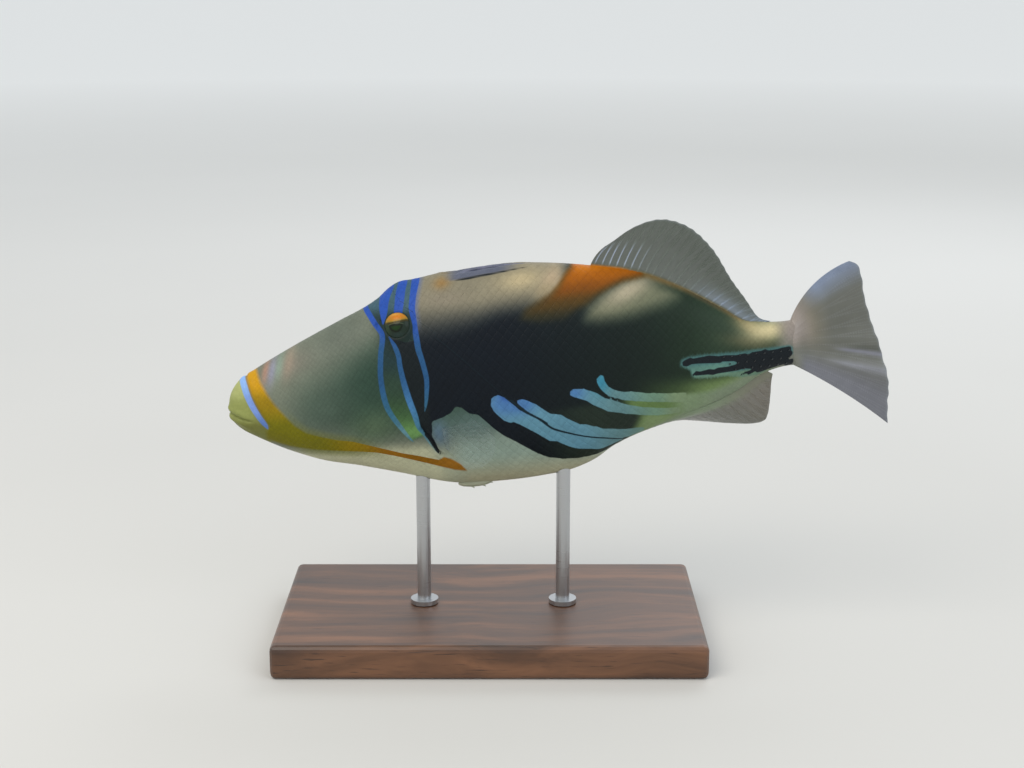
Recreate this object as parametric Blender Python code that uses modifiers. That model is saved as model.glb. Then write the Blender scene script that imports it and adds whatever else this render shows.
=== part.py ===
"""A life-size picasso triggerfish, swimming nose down, on a plain display stand.

The body is one smooth form, a loft through ovals that are pointed above and below, parted by thin cuts
into head, torso and tail stem. Eyes, fins, the folded first dorsal spines and the pelvic spine are pieces
of their own, each 0.3 mm clear of what it grows from.

Fish sizes are millimetres in the fish's own frame: x from the tip of the snout to the tail, y across
(the left side is at minus y) and z up from the axis. An empty turns that frame nose down over the stand,
whose own frame has its origin under the middle of the base.
"""

import math

import bmesh
import bpy
import numpy as np
from mathutils import Matrix, Vector

MM = 0.001
GAP = 0.3

# The fish over its stand
SNOUT_X = -92.0
SNOUT_Z = 87.5
NOSE_DOWN = math.radians(5.1)

# The body's outline as (place along the fish, value) pairs
BODY_LENGTH = 198.0
CREST_LINE = (
    (0, 5.0), (12.5, 11.7), (42.3, 25.6), (51.8, 29.7), (56.3, 32.2), (60.1, 35.2), (64, 37.2), (68.5, 37.7), (84, 39.9),
    (95, 40.3), (120, 38.8), (134, 36.4), (147.5, 33.1), (161, 26.6), (174.5, 18.0), (182, 12.8), (189.5, 11.7),
    (198, 11.5),
)
KEEL_LINE = (
    (0, -8.4), (4.3, -11.0), (20, -19.9), (29.5, -23.8), (43.4, -27.5), (57.3, -31.3), (78.2, -37.1), (92.5, -37.7),
    (106.8, -37.1), (121.3, -34.6), (127.6, -32.0), (132.5, -28.9), (150.7, -21.7), (177, -12.7), (189.8, -6.0),
    (198, -4.6),
)
HALF_WIDTH = (
    (0, 4.6), (12, 7.6), (30, 11.4), (50, 14.3), (70, 16.4), (92, 17.2), (115, 16.2), (140, 12.8), (165, 8.4), (182, 5.6),
    (198, 4.0),
)
WIDEST_LINE = ((0, -3.6), (7, -6.4), (25, -4.0), (50, 0.0), (80, 3.5), (120, 5.0), (160, 4.5), (185, 3.4), (198, 3.4))
CREST_EDGE = ((0, 1.0), (30, 1.15), (60, 1.25), (95, 1.1), (130, 1.3), (175, 1.2), (198, 1.1))
KEEL_EDGE = ((0, 1.0), (25, 1.15), (60, 1.35), (95, 1.5), (125, 1.45), (160, 1.3), (198, 1.05))
NOSE_LENGTH = 6.0
NOSE_BLUNTNESS = 0.3
RINGS = 52
HALF_RING_STEPS = 18

# The mouth's line runs round the snout on the widest line, between two lips
MOUTH_HALF_ANGLE = math.radians(3.5)
MOUTH_DEPTH = 0.7
MOUTH_FADE = (6.0, 9.0)
LIP_RAISE = 0.5
LIP_ANGLE = math.radians(19)
LIP_SPREAD = math.radians(10)
LIP_FADE = (4.0, 7.5)

# Where the body is parted: the upper and lower point of the cut behind the gills, and the tail stem's start
GILL_CUT = ((68.8, 24.0), (74.4, -24.0))
STEM_CUT = 190.2

# The head's features
EYE_PLACE = (62.6, 24.0)
EYE_RADIUS = 5.0
EYE_HALF_DEPTH = 3.4
EYE_SUNK = 1.7
EYE_RIM_RADIUS = 4.9
EYE_RIM_THICKNESS = 0.75
NOSTRILS = ((55.4, 24.4, 0.6), (56.9, 25.6, 0.45))
NOSTRIL_DEPTH = 0.9
GILL_SLIT = ((69.6, -10.5), (70.3, -14.5), (71.3, -19.0), (73.3, -23.4))
GILL_SLIT_WIDTH = 0.8
GILL_SLIT_DEPTH = 2.0

# The folded first dorsal lies in a groove along the back
GROOVE_MIDDLE = 96.0
GROOVE_RADII = (20.3, 2.2, 3.9)
GROOVE_ABOVE_BACK = 0.3
FOLDED_MEMBRANE_BELOW_BACK = 1.1
# (root along, tip along, root below the back, tip below the back, y, root radius, tip radius)
FOLDED_SPINES = (
    (85.0, 109.5, 1.0, 0.4, 0.0, 1.15, 0.35),
    (91.0, 111.0, 1.3, 0.8, 0.65, 0.8, 0.3),
    (98.0, 107.0, 1.2, 0.9, -0.7, 0.55, 0.25),
)

# The stub of the pelvis at the keel
PELVIC_MIDDLE = 83.5
PELVIC_RADII = (6.0, 1.5, 1.3)
PELVIC_SPINULES = 4
PELVIC_SPINULE_LENGTH = 1.3

# Every fin's soft part
MEMBRANE = 0.55
RAY_RIDGE = 0.5
FLESH_REACH = 2.5
BRANCHING = (0.35, 0.65)
ROW_CROWDING = 1.7
FINE_STEPS = 400

# The stand
BASE_SIZE = (150.0, 84.0, 12.0)
BASE_BEVEL = 2.0
ROD_PLACES = {"stand_rod_front": -24.0, "stand_rod_rear": 26.0}
ROD_RADIUS = 2.5
ROD_COLLAR_RADIUS = 5.0
ROD_COLLAR_HEIGHT = 1.6
ROD_INTO_KEEL = 3.0

# Colours are linear, as (red, green, blue)
MATERIALS = {
    "skin_grey": ((0.13, 0.15, 0.12), 0.5, 0.0),
    "skin_dark": ((0.02, 0.03, 0.03), 0.5, 0.0),
    "skin_green": ((0.08, 0.11, 0.05), 0.5, 0.0),
    "eye_orange": ((0.29, 0.15, 0.04), 0.15, 0.0),
    "fin_grey": ((0.15, 0.17, 0.16), 0.4, 0.0),
    "spine_blue_grey": ((0.07, 0.09, 0.11), 0.5, 0.0),
    "stand_wood": ((0.05, 0.02, 0.01), 0.4, 0.0),
    "stand_steel": ((0.55, 0.55, 0.56), 0.3, 1.0),
}


def start_scene():
    """Clears the file and makes the model's collection, the cutters' collection and the fish's frame."""
    for obj in list(bpy.data.objects):
        bpy.data.objects.remove(obj)
    model = bpy.data.collections.new("picasso_triggerfish")
    cutters = bpy.data.collections.new("cutters")
    bpy.context.scene.collection.children.link(model)
    bpy.context.scene.collection.children.link(cutters)
    axis = bpy.data.objects.new("fish_axis", None)
    axis.location = Vector((SNOUT_X, 0, SNOUT_Z)) * MM
    axis.rotation_euler = (0, -NOSE_DOWN, 0)
    model.objects.link(axis)
    return model, cutters, axis


def material(name):
    """A Principled material by its name in MATERIALS."""
    if name in bpy.data.materials:
        return bpy.data.materials[name]
    colour, roughness, metallic = MATERIALS[name]
    made = bpy.data.materials.new(name)
    made.use_nodes = True
    shader = made.node_tree.nodes["Principled BSDF"]
    shader.inputs["Base Color"].default_value = (*colour, 1)
    shader.inputs["Roughness"].default_value = roughness
    shader.inputs["Metallic"].default_value = metallic
    return made


def smooth(knots, at):
    """A cubic curve through (place, value) knots, with each slope set by the two spans beside it."""
    place, value = np.array(knots, float).T
    span = np.diff(place)
    rise = np.diff(value) / span
    inner = (rise[:-1] * span[1:] + rise[1:] * span[:-1]) / (span[:-1] + span[1:])
    slope = np.concatenate(([rise[0]], inner, [rise[-1]]))
    at = np.clip(np.asarray(at, float), place[0], place[-1])
    left = np.clip(np.searchsorted(place, at, side="right") - 1, 0, len(place) - 2)
    t = (at - place[left]) / span[left]
    ends = value[left] * (1 + 2 * t) * (1 - t) ** 2 + value[left + 1] * t * t * (3 - 2 * t)
    return ends + span[left] * (slope[left] * t * (1 - t) ** 2 - slope[left + 1] * t * t * (1 - t))


def fade(at, start, end):
    """1 before start, 0 after end, and a smooth step between."""
    t = np.clip((np.asarray(at, float) - start) / (end - start), 0, 1)
    return 1 - t * t * (3 - 2 * t)


def oval(along, angle, grow=0.0):
    """Half width and height of the body at a place along it, for an angle from 0, crest, to pi, keel."""
    nose = (1 - (1 - np.clip(along / NOSE_LENGTH, 0, 1)) ** 2) ** NOSE_BLUNTNESS
    middle = smooth(WIDEST_LINE, along)
    upper = np.cos(angle) >= 0
    reach = np.where(upper, smooth(CREST_LINE, along) - middle, middle - smooth(KEEL_LINE, along)) + grow
    edge = np.where(upper, smooth(CREST_EDGE, along), smooth(KEEL_EDGE, along))
    half_width = (smooth(HALF_WIDTH, along) + grow) * nose * np.sin(angle) ** edge
    return half_width, middle + reach * nose * np.cos(angle)


def flank(along, height):
    """The left flank's point at a place along the fish and a height, and the outward normal there."""
    def half_width(x, z):
        middle = float(smooth(WIDEST_LINE, x))
        reach = float(smooth(CREST_LINE, x)) - middle if z > middle else middle - float(smooth(KEEL_LINE, x))
        angle = math.acos(max(-1, min(1, (z - middle) / reach)))
        return float(oval(x, angle)[0])
    step = 1.0
    out = half_width(along, height)
    slope_x = (half_width(along + step, height) - half_width(along - step, height)) / (2 * step)
    slope_z = (half_width(along, height + step) - half_width(along, height - step)) / (2 * step)
    return Vector((along, -out, height)), Vector((-slope_x, -1, -slope_z)).normalized()


def ring_places():
    """Where the body's rings stand: close together at the snout, wider apart towards the tail."""
    turn = np.linspace(0, math.pi / 2, RINGS + 1)[1:]
    return BODY_LENGTH * (1 - np.cos(turn))


def crest_at(along):
    """Height of the back as the faceted body has it, straight between its rings."""
    return np.interp(along, ring_places(), oval(ring_places(), 0.0)[1])


def keel_at(along):
    """Height of the keel as the faceted body has it, straight between its rings."""
    return np.interp(along, ring_places(), oval(ring_places(), math.pi)[1])


def body_mesh(name, grow=0.0, lips=True):
    """The whole body: a loft through ovals from the snout's tip to the end of the tail stem."""
    middle = math.pi / 2
    half = np.linspace(0, math.pi, HALF_RING_STEPS + 1)
    half = np.sort(np.append(half, (middle - MOUTH_HALF_ANGLE, middle + MOUTH_HALF_ANGLE)))
    angle = np.concatenate((half, half[-2:0:-1]))
    side = np.concatenate((-np.ones(len(half)), np.ones(len(half) - 2)))
    along = ring_places()[:, None]
    half_width, height = oval(along, angle[None, :], grow)
    if lips:
        mouth = MOUTH_DEPTH * fade(along, *MOUTH_FADE) * (np.abs(angle - middle) < MOUTH_HALF_ANGLE / 2)
        lip_shape = np.exp(-(((np.abs(angle - middle) - LIP_ANGLE) / LIP_SPREAD) ** 2))
        half_width = half_width + LIP_RAISE * fade(along, *LIP_FADE) * lip_shape - np.minimum(mouth, half_width / 2)
    bm = bmesh.new()
    tip_x = MOUTH_DEPTH * lips - grow
    tip = bm.verts.new(Vector((tip_x, 0, float(smooth(WIDEST_LINE, 0)))) * MM)
    rings = []
    for x, widths, heights in zip(along[:, 0], half_width, height):
        rings.append([bm.verts.new(Vector((x, s * w, z)) * MM) for s, w, z in zip(side, widths, heights)])
    count = len(angle)
    for i in range(count):
        bm.faces.new((tip, rings[0][(i + 1) % count], rings[0][i]))
    for near, far in zip(rings, rings[1:]):
        for i in range(count):
            after = (i + 1) % count
            bm.faces.new((near[i], near[after], far[after], far[i]))
    bm.faces.new(rings[-1])
    bmesh.ops.recalc_face_normals(bm, faces=bm.faces[:])
    mesh = bpy.data.meshes.new(name)
    bm.to_mesh(mesh)
    bm.free()
    return mesh


def cut_mesh(mesh, name, planes):
    """A copy of a closed mesh that keeps what lies behind each (point, normal) plane, with the cuts filled."""
    bm = bmesh.new()
    bm.from_mesh(mesh)
    for point, normal in planes:
        geometry = bm.verts[:] + bm.edges[:] + bm.faces[:]
        cut = bmesh.ops.bisect_plane(
            bm, geom=geometry, dist=1e-8, plane_co=Vector(point) * MM, plane_no=normal, clear_outer=True)
        rim = [e for e in cut["geom_cut"] if isinstance(e, bmesh.types.BMEdge)]
        bmesh.ops.holes_fill(bm, edges=rim, sides=0)
    bmesh.ops.recalc_face_normals(bm, faces=bm.faces[:])
    made = bpy.data.meshes.new(name)
    bm.to_mesh(made)
    bm.free()
    return made


class Workshop:
    """Makes, joins and cuts the model's objects."""

    def __init__(self):
        self.model, self.cutters, self.axis = start_scene()

    def node(self, name, mesh, finish, on_fish=True):
        """One named piece of the model."""
        obj = bpy.data.objects.new(name, mesh)
        mesh.materials.clear()
        mesh.materials.append(material(finish))
        self.model.objects.link(obj)
        if on_fish:
            obj.parent = self.axis
        return obj

    def helper(self, name, mesh, on_fish=True):
        """A cutter, or a piece that is joined into a node."""
        obj = bpy.data.objects.new(name, mesh)
        self.cutters.objects.link(obj)
        obj.hide_render = True
        obj.display_type = "WIRE"
        if on_fish:
            obj.parent = self.axis
        return obj

    def apply(self, obj):
        """Turns an object's modifiers into its own mesh."""
        bpy.context.view_layer.update()
        evaluated = obj.evaluated_get(bpy.context.evaluated_depsgraph_get())
        mesh = bpy.data.meshes.new_from_object(evaluated)
        obj.modifiers.clear()
        obj.data = mesh

    def boolean(self, obj, operation, pieces):
        """Joins or cuts a node with helpers in one Boolean, applies it and removes the helpers."""
        group = bpy.data.collections.new(f"{obj.name}_{operation.lower()}")
        bpy.context.scene.collection.children.link(group)
        for piece in pieces:
            group.objects.link(piece)
        modifier = obj.modifiers.new(operation.title(), "BOOLEAN")
        modifier.operation = operation
        modifier.operand_type = "COLLECTION"
        modifier.collection = group
        modifier.solver = "EXACT"
        self.apply(obj)
        for piece in pieces:
            bpy.data.objects.remove(piece)
        bpy.data.collections.remove(group)
        keep_largest(obj.data)


def keep_largest(mesh):
    """Leaves only the closed surface with the most volume."""
    bm = bmesh.new()
    bm.from_mesh(mesh)
    bm.verts.ensure_lookup_table()
    group = [-1] * len(bm.verts)
    groups = []
    for start in bm.verts:
        if group[start.index] >= 0:
            continue
        members = []
        stack = [start]
        group[start.index] = len(groups)
        while stack:
            vert = stack.pop()
            members.append(vert)
            for edge in vert.link_edges:
                other = edge.other_vert(vert)
                if group[other.index] < 0:
                    group[other.index] = len(groups)
                    stack.append(other)
        groups.append(members)
    def size(members):
        corners = np.array([v.co for v in members])
        return float(np.prod(corners.max(0) - corners.min(0)))
    largest = max(groups, key=size)
    loose = [v for members in groups if members is not largest for v in members]
    bmesh.ops.delete(bm, geom=loose, context="VERTS")
    bm.to_mesh(mesh)
    bm.free()


def ellipsoid(name, radii, matrix, segments=24, rings=14):
    """An ellipsoid with its radii in mm, turned and placed by a matrix in mm."""
    bm = bmesh.new()
    bmesh.ops.create_uvsphere(bm, u_segments=segments, v_segments=rings, radius=1)
    place = Matrix.Scale(MM, 4) @ matrix @ Matrix.Diagonal((*radii, 1))
    bmesh.ops.transform(bm, matrix=place, verts=bm.verts)
    mesh = bpy.data.meshes.new(name)
    bm.to_mesh(mesh)
    bm.free()
    return mesh


def cone(name, start, end, start_radius, end_radius, segments=10):
    """A closed cone or cylinder from start to end, in mm."""
    start, end = Vector(start), Vector(end)
    line = end - start
    turn = line.to_track_quat("Z", "Y").to_matrix().to_4x4()
    bm = bmesh.new()
    bmesh.ops.create_cone(
        bm, cap_ends=True, segments=segments, radius1=start_radius, radius2=end_radius, depth=line.length)
    place = Matrix.Scale(MM, 4) @ Matrix.Translation((start + end) / 2) @ turn
    bmesh.ops.transform(bm, matrix=place, verts=bm.verts)
    mesh = bpy.data.meshes.new(name)
    bm.to_mesh(mesh)
    bm.free()
    return mesh


def mirrored(vector, side):
    """The point or direction on the fish's left (side -1) or right (side 1)."""
    return Vector((vector.x, -side * vector.y, vector.z))


def facing(point, normal):
    """A matrix whose z axis is the normal, placed at the point."""
    return Matrix.Translation(point) @ normal.to_track_quat("Z", "Y").to_matrix().to_4x4()


def gill_slit_cutter(shop, side):
    """A curved blade through the skin along the gill opening: an open ribbon given its width."""
    bm = bmesh.new()
    rows = []
    for along, height in GILL_SLIT:
        point, _ = flank(along, height)
        rows.append([
            bm.verts.new(mirrored(Vector((along, point.y + depth, height)), side) * MM)
            for depth in (-GILL_SLIT_DEPTH, GILL_SLIT_DEPTH)])
    for near, far in zip(rows, rows[1:]):
        bm.faces.new((near[0], near[1], far[1], far[0]))
    mesh = bpy.data.meshes.new("gill_slit")
    bm.to_mesh(mesh)
    bm.free()
    blade = shop.helper("gill_slit", mesh)
    wall = blade.modifiers.new("Width", "SOLIDIFY")
    wall.thickness = GILL_SLIT_WIDTH * MM
    wall.offset = 0
    shop.apply(blade)
    close_outwards(blade.data)
    return blade


def close_outwards(mesh):
    """Turns every face of a closed mesh outwards."""
    bm = bmesh.new()
    bm.from_mesh(mesh)
    bmesh.ops.recalc_face_normals(bm, faces=bm.faces[:])
    bm.to_mesh(mesh)
    bm.free()


def gill_planes():
    """The cut behind the gills: its middle point, and its normal towards the tail."""
    upper, lower = (Vector((x, 0, z)) for x, z in GILL_CUT)
    line = lower - upper
    return (upper + lower) / 2, Vector((-line.z, 0, line.x)).normalized()


def make_head(shop, body):
    """The head: lips, mouth line, eye rims and sockets, nostrils and gill slits."""
    point, normal = gill_planes()
    mesh = cut_mesh(body, "head", [(point - normal * GAP / 2, normal)])
    head = shop.node("head", mesh, "skin_grey")
    eye_point, eye_normal = flank(*EYE_PLACE)
    rims, cutters = [], []
    for side in (-1, 1):
        place = facing(mirrored(eye_point, side), mirrored(eye_normal, side))
        rims.append(shop.helper("eye_rim", torus("eye_rim", EYE_RIM_RADIUS, EYE_RIM_THICKNESS, place)))
        socket = place @ Matrix.Translation((0, 0, -EYE_SUNK))
        radii = (EYE_RADIUS + GAP, EYE_RADIUS + GAP, EYE_HALF_DEPTH + GAP)
        cutters.append(shop.helper("eye_socket", ellipsoid("eye_socket", radii, socket)))
        for along, height, radius in NOSTRILS:
            skin, out = flank(along, height)
            skin, out = mirrored(skin, side), mirrored(out, side)
            pit = cone("nostril", skin - out * NOSTRIL_DEPTH, skin + out * NOSTRIL_DEPTH, radius, radius, segments=8)
            cutters.append(shop.helper("nostril", pit))
        cutters.append(gill_slit_cutter(shop, side))
    shop.boolean(head, "UNION", rims)
    shop.boolean(head, "DIFFERENCE", cutters)


def torus(name, major, minor, matrix, major_steps=22, minor_steps=7):
    """A ring of round section, placed by a matrix in mm."""
    turn = np.linspace(0, 2 * math.pi, major_steps, endpoint=False)
    roll = np.linspace(0, 2 * math.pi, minor_steps, endpoint=False)
    bm = bmesh.new()
    rows = []
    for a in turn:
        rows.append([
            bm.verts.new(matrix @ Vector(
                ((major + minor * math.cos(b)) * math.cos(a), (major + minor * math.cos(b)) * math.sin(a),
                 minor * math.sin(b))) * MM) for b in roll])
    for i in range(major_steps):
        near, far = rows[i], rows[(i + 1) % major_steps]
        for j in range(minor_steps):
            after = (j + 1) % minor_steps
            bm.faces.new((near[j], far[j], far[after], near[after]))
    bmesh.ops.recalc_face_normals(bm, faces=bm.faces[:])
    mesh = bpy.data.meshes.new(name)
    bm.to_mesh(mesh)
    bm.free()
    return mesh


def make_eyes(shop):
    """Each eye is a thick lens sunk in its socket."""
    point, normal = flank(*EYE_PLACE)
    for side, name in ((-1, "eye_left"), (1, "eye_right")):
        place = facing(mirrored(point, side), mirrored(normal, side)) @ Matrix.Translation((0, 0, -EYE_SUNK))
        mesh = ellipsoid(name, (EYE_RADIUS, EYE_RADIUS, EYE_HALF_DEPTH), place, segments=22, rings=12)
        shop.node(name, mesh, "eye_orange")


def groove_radii(clear):
    """Radii of the back's groove, less a clearance."""
    return tuple(radius - clear for radius in GROOVE_RADII)


def make_torso(shop, body):
    """The torso, with the groove for the first dorsal and the pocket for the pelvic spine."""
    point, normal = gill_planes()
    stem = Vector((STEM_CUT - GAP / 2, 0, 0))
    mesh = cut_mesh(body, "torso", [(point + normal * GAP / 2, -normal), (stem, Vector((1, 0, 0)))])
    torso = shop.node("torso", mesh, "skin_dark")
    groove = shop.helper("groove", ellipsoid("groove", groove_radii(0), groove_matrix(), segments=20, rings=16))
    radii = tuple(radius + GAP for radius in PELVIC_RADII)
    pocket = shop.helper("pelvic_pocket", ellipsoid("pelvic_pocket", radii, pelvic_matrix(), segments=16, rings=10))
    shop.boolean(torso, "DIFFERENCE", [groove, pocket])


def groove_matrix():
    """Middle of the groove, just above the back, with the ellipsoid's poles lying along the fish."""
    middle = Vector((GROOVE_MIDDLE, 0, float(crest_at(GROOVE_MIDDLE)) + GROOVE_ABOVE_BACK))
    return Matrix.Translation(middle)


def pelvic_matrix():
    """Middle of the pelvic spine, on the keel and along it."""
    half = PELVIC_RADII[0]
    front = Vector((PELVIC_MIDDLE - half, 0, float(keel_at(PELVIC_MIDDLE - half))))
    rear = Vector((PELVIC_MIDDLE + half, 0, float(keel_at(PELVIC_MIDDLE + half))))
    turn = Vector((1, 0, 0)).rotation_difference(rear - front).to_matrix().to_4x4()
    return Matrix.Translation((front + rear) / 2) @ turn


def make_tail_stem(shop, body):
    """The short stem between the fins and the tail."""
    start = Vector((STEM_CUT + GAP / 2, 0, 0))
    shop.node("tail_stem", cut_mesh(body, "tail_stem", [(start, Vector((-1, 0, 0)))]), "skin_green")


def make_dorsal_spines(shop):
    """The first dorsal, folded: a bed of creased membrane that fills the groove, and three spines on it."""
    back = float(crest_at(GROOVE_MIDDLE))
    bed = ellipsoid("dorsal_spines", groove_radii(GAP), groove_matrix(), segments=20, rings=16)
    top = Vector((0, 0, back - FOLDED_MEMBRANE_BELOW_BACK))
    node = shop.node("dorsal_spines", cut_mesh(bed, "dorsal_spines", [(top, Vector((0, 0, 1)))]), "spine_blue_grey")
    spines = []
    for root, tip, root_down, tip_down, y, root_radius, tip_radius in FOLDED_SPINES:
        start = Vector((root, y, float(crest_at(root)) - root_down))
        end = Vector((tip, y, float(crest_at(tip)) - tip_down))
        spines.append(shop.helper("spine", cone("spine", start, end, root_radius, tip_radius)))
    shop.boolean(node, "UNION", spines)


def make_pelvic_spine(shop):
    """The rough stub that ends the pelvis, with two rows of short blunt spinules."""
    place = pelvic_matrix()
    mesh = ellipsoid("pelvic_spine", PELVIC_RADII, place, segments=16, rings=10)
    node = shop.node("pelvic_spine", mesh, "skin_grey")
    spinules = []
    for step in range(PELVIC_SPINULES):
        x = (step / (PELVIC_SPINULES - 1) - 0.4) * PELVIC_RADII[0]
        for side in (-1, 1):
            start = place @ Vector((x, side * 0.4, -0.5 * PELVIC_RADII[2]))
            end = place @ Vector((x + 0.8, side * 1.1, -0.5 * PELVIC_RADII[2] - PELVIC_SPINULE_LENGTH))
            spinules.append(shop.helper("spinule", cone("spinule", start, end, 0.55, 0.15, segments=6)))
    shop.boolean(node, "UNION", spinules)


class Fin:
    """A fin as a fan of rays over its root line.

    Each ray starts on the root, heads off at root_rise from the body's axis, bends to tip_rise, and leans
    out of the fin's plane from root_lean to tip_lean within the first few millimetres. All of these and the
    ray's length are (place across the fin, value) knots, with the place from 0, first ray, to 1, last.
    """

    def __init__(self, root, up, side, lengths, root_rise, tip_rise, root_lean, tip_lean, lean_within, flesh):
        self.root = root
        self.up = np.array(up, float)
        self.side = np.array(side, float)
        self.lengths = lengths
        self.root_rise = root_rise
        self.tip_rise = tip_rise
        self.root_lean = root_lean
        self.tip_lean = tip_lean
        self.lean_within = lean_within
        self.flesh = flesh

    def points(self, across, rows):
        """Points of the middle surface at each row along every ray, summed from short straight steps."""
        t = (np.arange(FINE_STEPS) + 0.5) / FINE_STEPS
        length = smooth(self.lengths, across)[:, None]
        start, end = smooth(self.root_rise, across)[:, None], smooth(self.tip_rise, across)[:, None]
        rise = np.radians(start + (end - start) * t)
        start, end = smooth(self.root_lean, across)[:, None], smooth(self.tip_lean, across)[:, None]
        lean = np.radians(end + (start - end) * np.exp(-length * t / self.lean_within))
        back = np.array((1.0, 0, 0))
        step = (np.cos(lean) * np.cos(rise))[..., None] * back
        step = step + (np.cos(lean) * np.sin(rise))[..., None] * self.up + np.sin(lean)[..., None] * self.side
        step *= (length / FINE_STEPS)[..., None]
        path = np.cumsum(step, axis=1)[:, np.round(rows[1:] * FINE_STEPS).astype(int) - 1]
        roots = self.root(across)[:, None, :]
        return np.concatenate((roots, roots + path), axis=1)

    def thickness(self, across, rows, rays, branched):
        """Thickness at each point: thin membrane, a ridge along each ray, and flesh at the root."""
        phase = (across * rays) % 1.0
        middle = 1 - np.abs(2 * phase - 1)
        ray = np.repeat(middle[:, None], len(rows), axis=1)
        if branched:
            two = 1 - np.abs(2 * ((2 * phase) % 1.0) - 1)
            split = 1 - fade(rows, *BRANCHING)
            ray = ray * (1 - split) + two[:, None] * split
        ridge = RAY_RIDGE * (1 - 0.5 * rows) * ray
        length = smooth(self.lengths, across)[:, None]
        flesh = smooth(self.flesh, across)[:, None] * np.exp(-length * rows / FLESH_REACH)
        return MEMBRANE + ridge + flesh


def fin_rows(count):
    """Places of the rows along a ray, from 0, root, to 1, tip, closer together at the root."""
    return (np.arange(count + 1) / count) ** ROW_CROWDING


def make_fin(shop, name, fin, rays, rows, branched=False, mirror=False):
    """Builds a fin as an open triangulated sheet whose Solidify gives each point its own thickness."""
    columns_a_ray = 4 if branched else 2
    across = np.linspace(0, 1, rays * columns_a_ray + 1)
    places = fin_rows(rows)
    points = fin.points(across, places) * MM
    if mirror:
        points[..., 1] *= -1
    thickness = fin.thickness(across, places, rays, branched)
    bm = bmesh.new()
    grid = [[bm.verts.new(point) for point in line] for line in points]
    for near, far in zip(grid, grid[1:]):
        for i in range(rows):
            bm.faces.new((near[i], near[i + 1], far[i + 1]))
            bm.faces.new((near[i], far[i + 1], far[i]))
    mesh = bpy.data.meshes.new(name)
    bm.to_mesh(mesh)
    bm.free()
    node = shop.node(name, mesh, "fin_grey")
    thickest = float(thickness.max())
    group = node.vertex_groups.new(name="thickness")
    for index, value in enumerate(thickness.ravel() / thickest):
        group.add([index], float(value), "REPLACE")
    wall = node.modifiers.new("Thickness", "SOLIDIFY")
    wall.thickness = thickest * MM
    wall.offset = 0
    wall.vertex_group = "thickness"
    wall.thickness_vertex_group = 0
    shop.apply(node)
    close_outwards(node.data)


def line_root(start, end, height, clear):
    """A root line along the back or keel, clear of it by the gap."""
    def root(across):
        x = start + (end - start) * across
        return np.stack((x, np.zeros_like(x), height(x) + clear), axis=1)
    return root


def make_dorsal_fin(shop):
    """The second dorsal: 24 rays, upright and longest in front, laid back towards the tail."""
    fin = Fin(
        root=line_root(130.5, 189.4, crest_at, GAP), up=(0, 0, 1), side=(0, 1, 0),
        lengths=((0, 9.0), (0.1, 14.9), (0.19, 19.7), (0.33, 21.5), (0.48, 18.4), (0.64, 12.2), (0.78, 8.1), (0.92, 4.0),
                 (1, 2.2)),
        root_rise=((0, 66), (0.1, 68), (0.19, 66), (0.33, 60), (0.48, 50), (0.64, 37), (0.78, 28), (0.92, 18), (1, 14)),
        tip_rise=((0, 30), (0.1, 46), (0.19, 45), (0.33, 39), (0.48, 32), (0.64, 22), (0.78, 17), (0.92, 12), (1, 10)),
        root_lean=((0, 0), (1, 0)),
        tip_lean=((0, -5), (0.3, 3), (0.6, 10), (1, 5)),
        lean_within=5.0, flesh=((0, 0.6), (0.5, 0.9), (1, 0.6)))
    make_fin(shop, "dorsal_fin", fin, rays=24, rows=7)


def make_anal_fin(shop):
    """The anal fin: 22 rays, its front swung out to the fish's right and its rear lobe hanging."""
    fin = Fin(
        root=line_root(134.0, 189.4, keel_at, -GAP), up=(0, 0, -1), side=(0, 1, 0),
        lengths=((0, 6.5), (0.12, 12), (0.3, 16.5), (0.45, 17), (0.6, 17.5), (0.75, 15.5), (0.88, 9), (0.96, 4.5), (1, 2.2)),
        root_rise=((0, 62), (0.3, 58), (0.45, 56), (0.6, 50), (0.75, 43), (0.88, 33), (1, 20)),
        tip_rise=((0, 40), (0.3, 42), (0.45, 40), (0.6, 34), (0.75, 29), (0.88, 20), (1, 12)),
        root_lean=((0, 0), (1, 0)),
        tip_lean=((0, 84), (0.15, 84), (0.3, 81), (0.45, 62), (0.6, 42), (0.75, 26), (0.88, 18), (1, 12)),
        lean_within=1.6, flesh=((0, 0.4), (0.5, 0.7), (1, 0.5)))
    make_fin(shop, "anal_fin", fin, rays=22, rows=6)


def make_tail_fin(shop):
    """The tail fin: 12 branched rays, a little longer below, with two soft folds."""
    def root(across):
        top, bottom = 11.1, -4.2
        x = np.full_like(across, BODY_LENGTH + GAP)
        return np.stack((x, np.zeros_like(x), top + (bottom - top) * across), axis=1)
    fin = Fin(
        root=root, up=(0, 0, 1), side=(0, 1, 0),
        lengths=((0, 29.8), (0.05, 31.2), (0.12, 30.4), (0.25, 28.2), (0.4, 28.8), (0.5, 30.3), (0.65, 33.8), (0.8, 36.9),
                 (0.9, 38.2), (1, 39.2)),
        root_rise=((0, 68), (0.05, 60), (0.12, 46), (0.25, 26), (0.4, 6), (0.5, -2), (0.65, -14), (0.8, -22), (0.9, -26),
                   (1, -32)),
        tip_rise=((0, 18), (0.05, 19), (0.12, 21), (0.25, 17), (0.4, 4), (0.5, -3.5), (0.65, -17), (0.8, -27), (0.9, -36),
                  (1, -46)),
        root_lean=((0, 0), (1, 0)),
        tip_lean=((0, -5), (0.2, 1), (0.4, 5), (0.5, 1), (0.6, 5), (0.72, 0), (0.85, 4), (1, 7)),
        lean_within=14.0, flesh=((0, 1.0), (0.15, 4.6), (0.5, 6.0), (0.85, 4.6), (1, 1.0)))
    make_fin(shop, "tail_fin", fin, rays=12, rows=8, branched=True)


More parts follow.
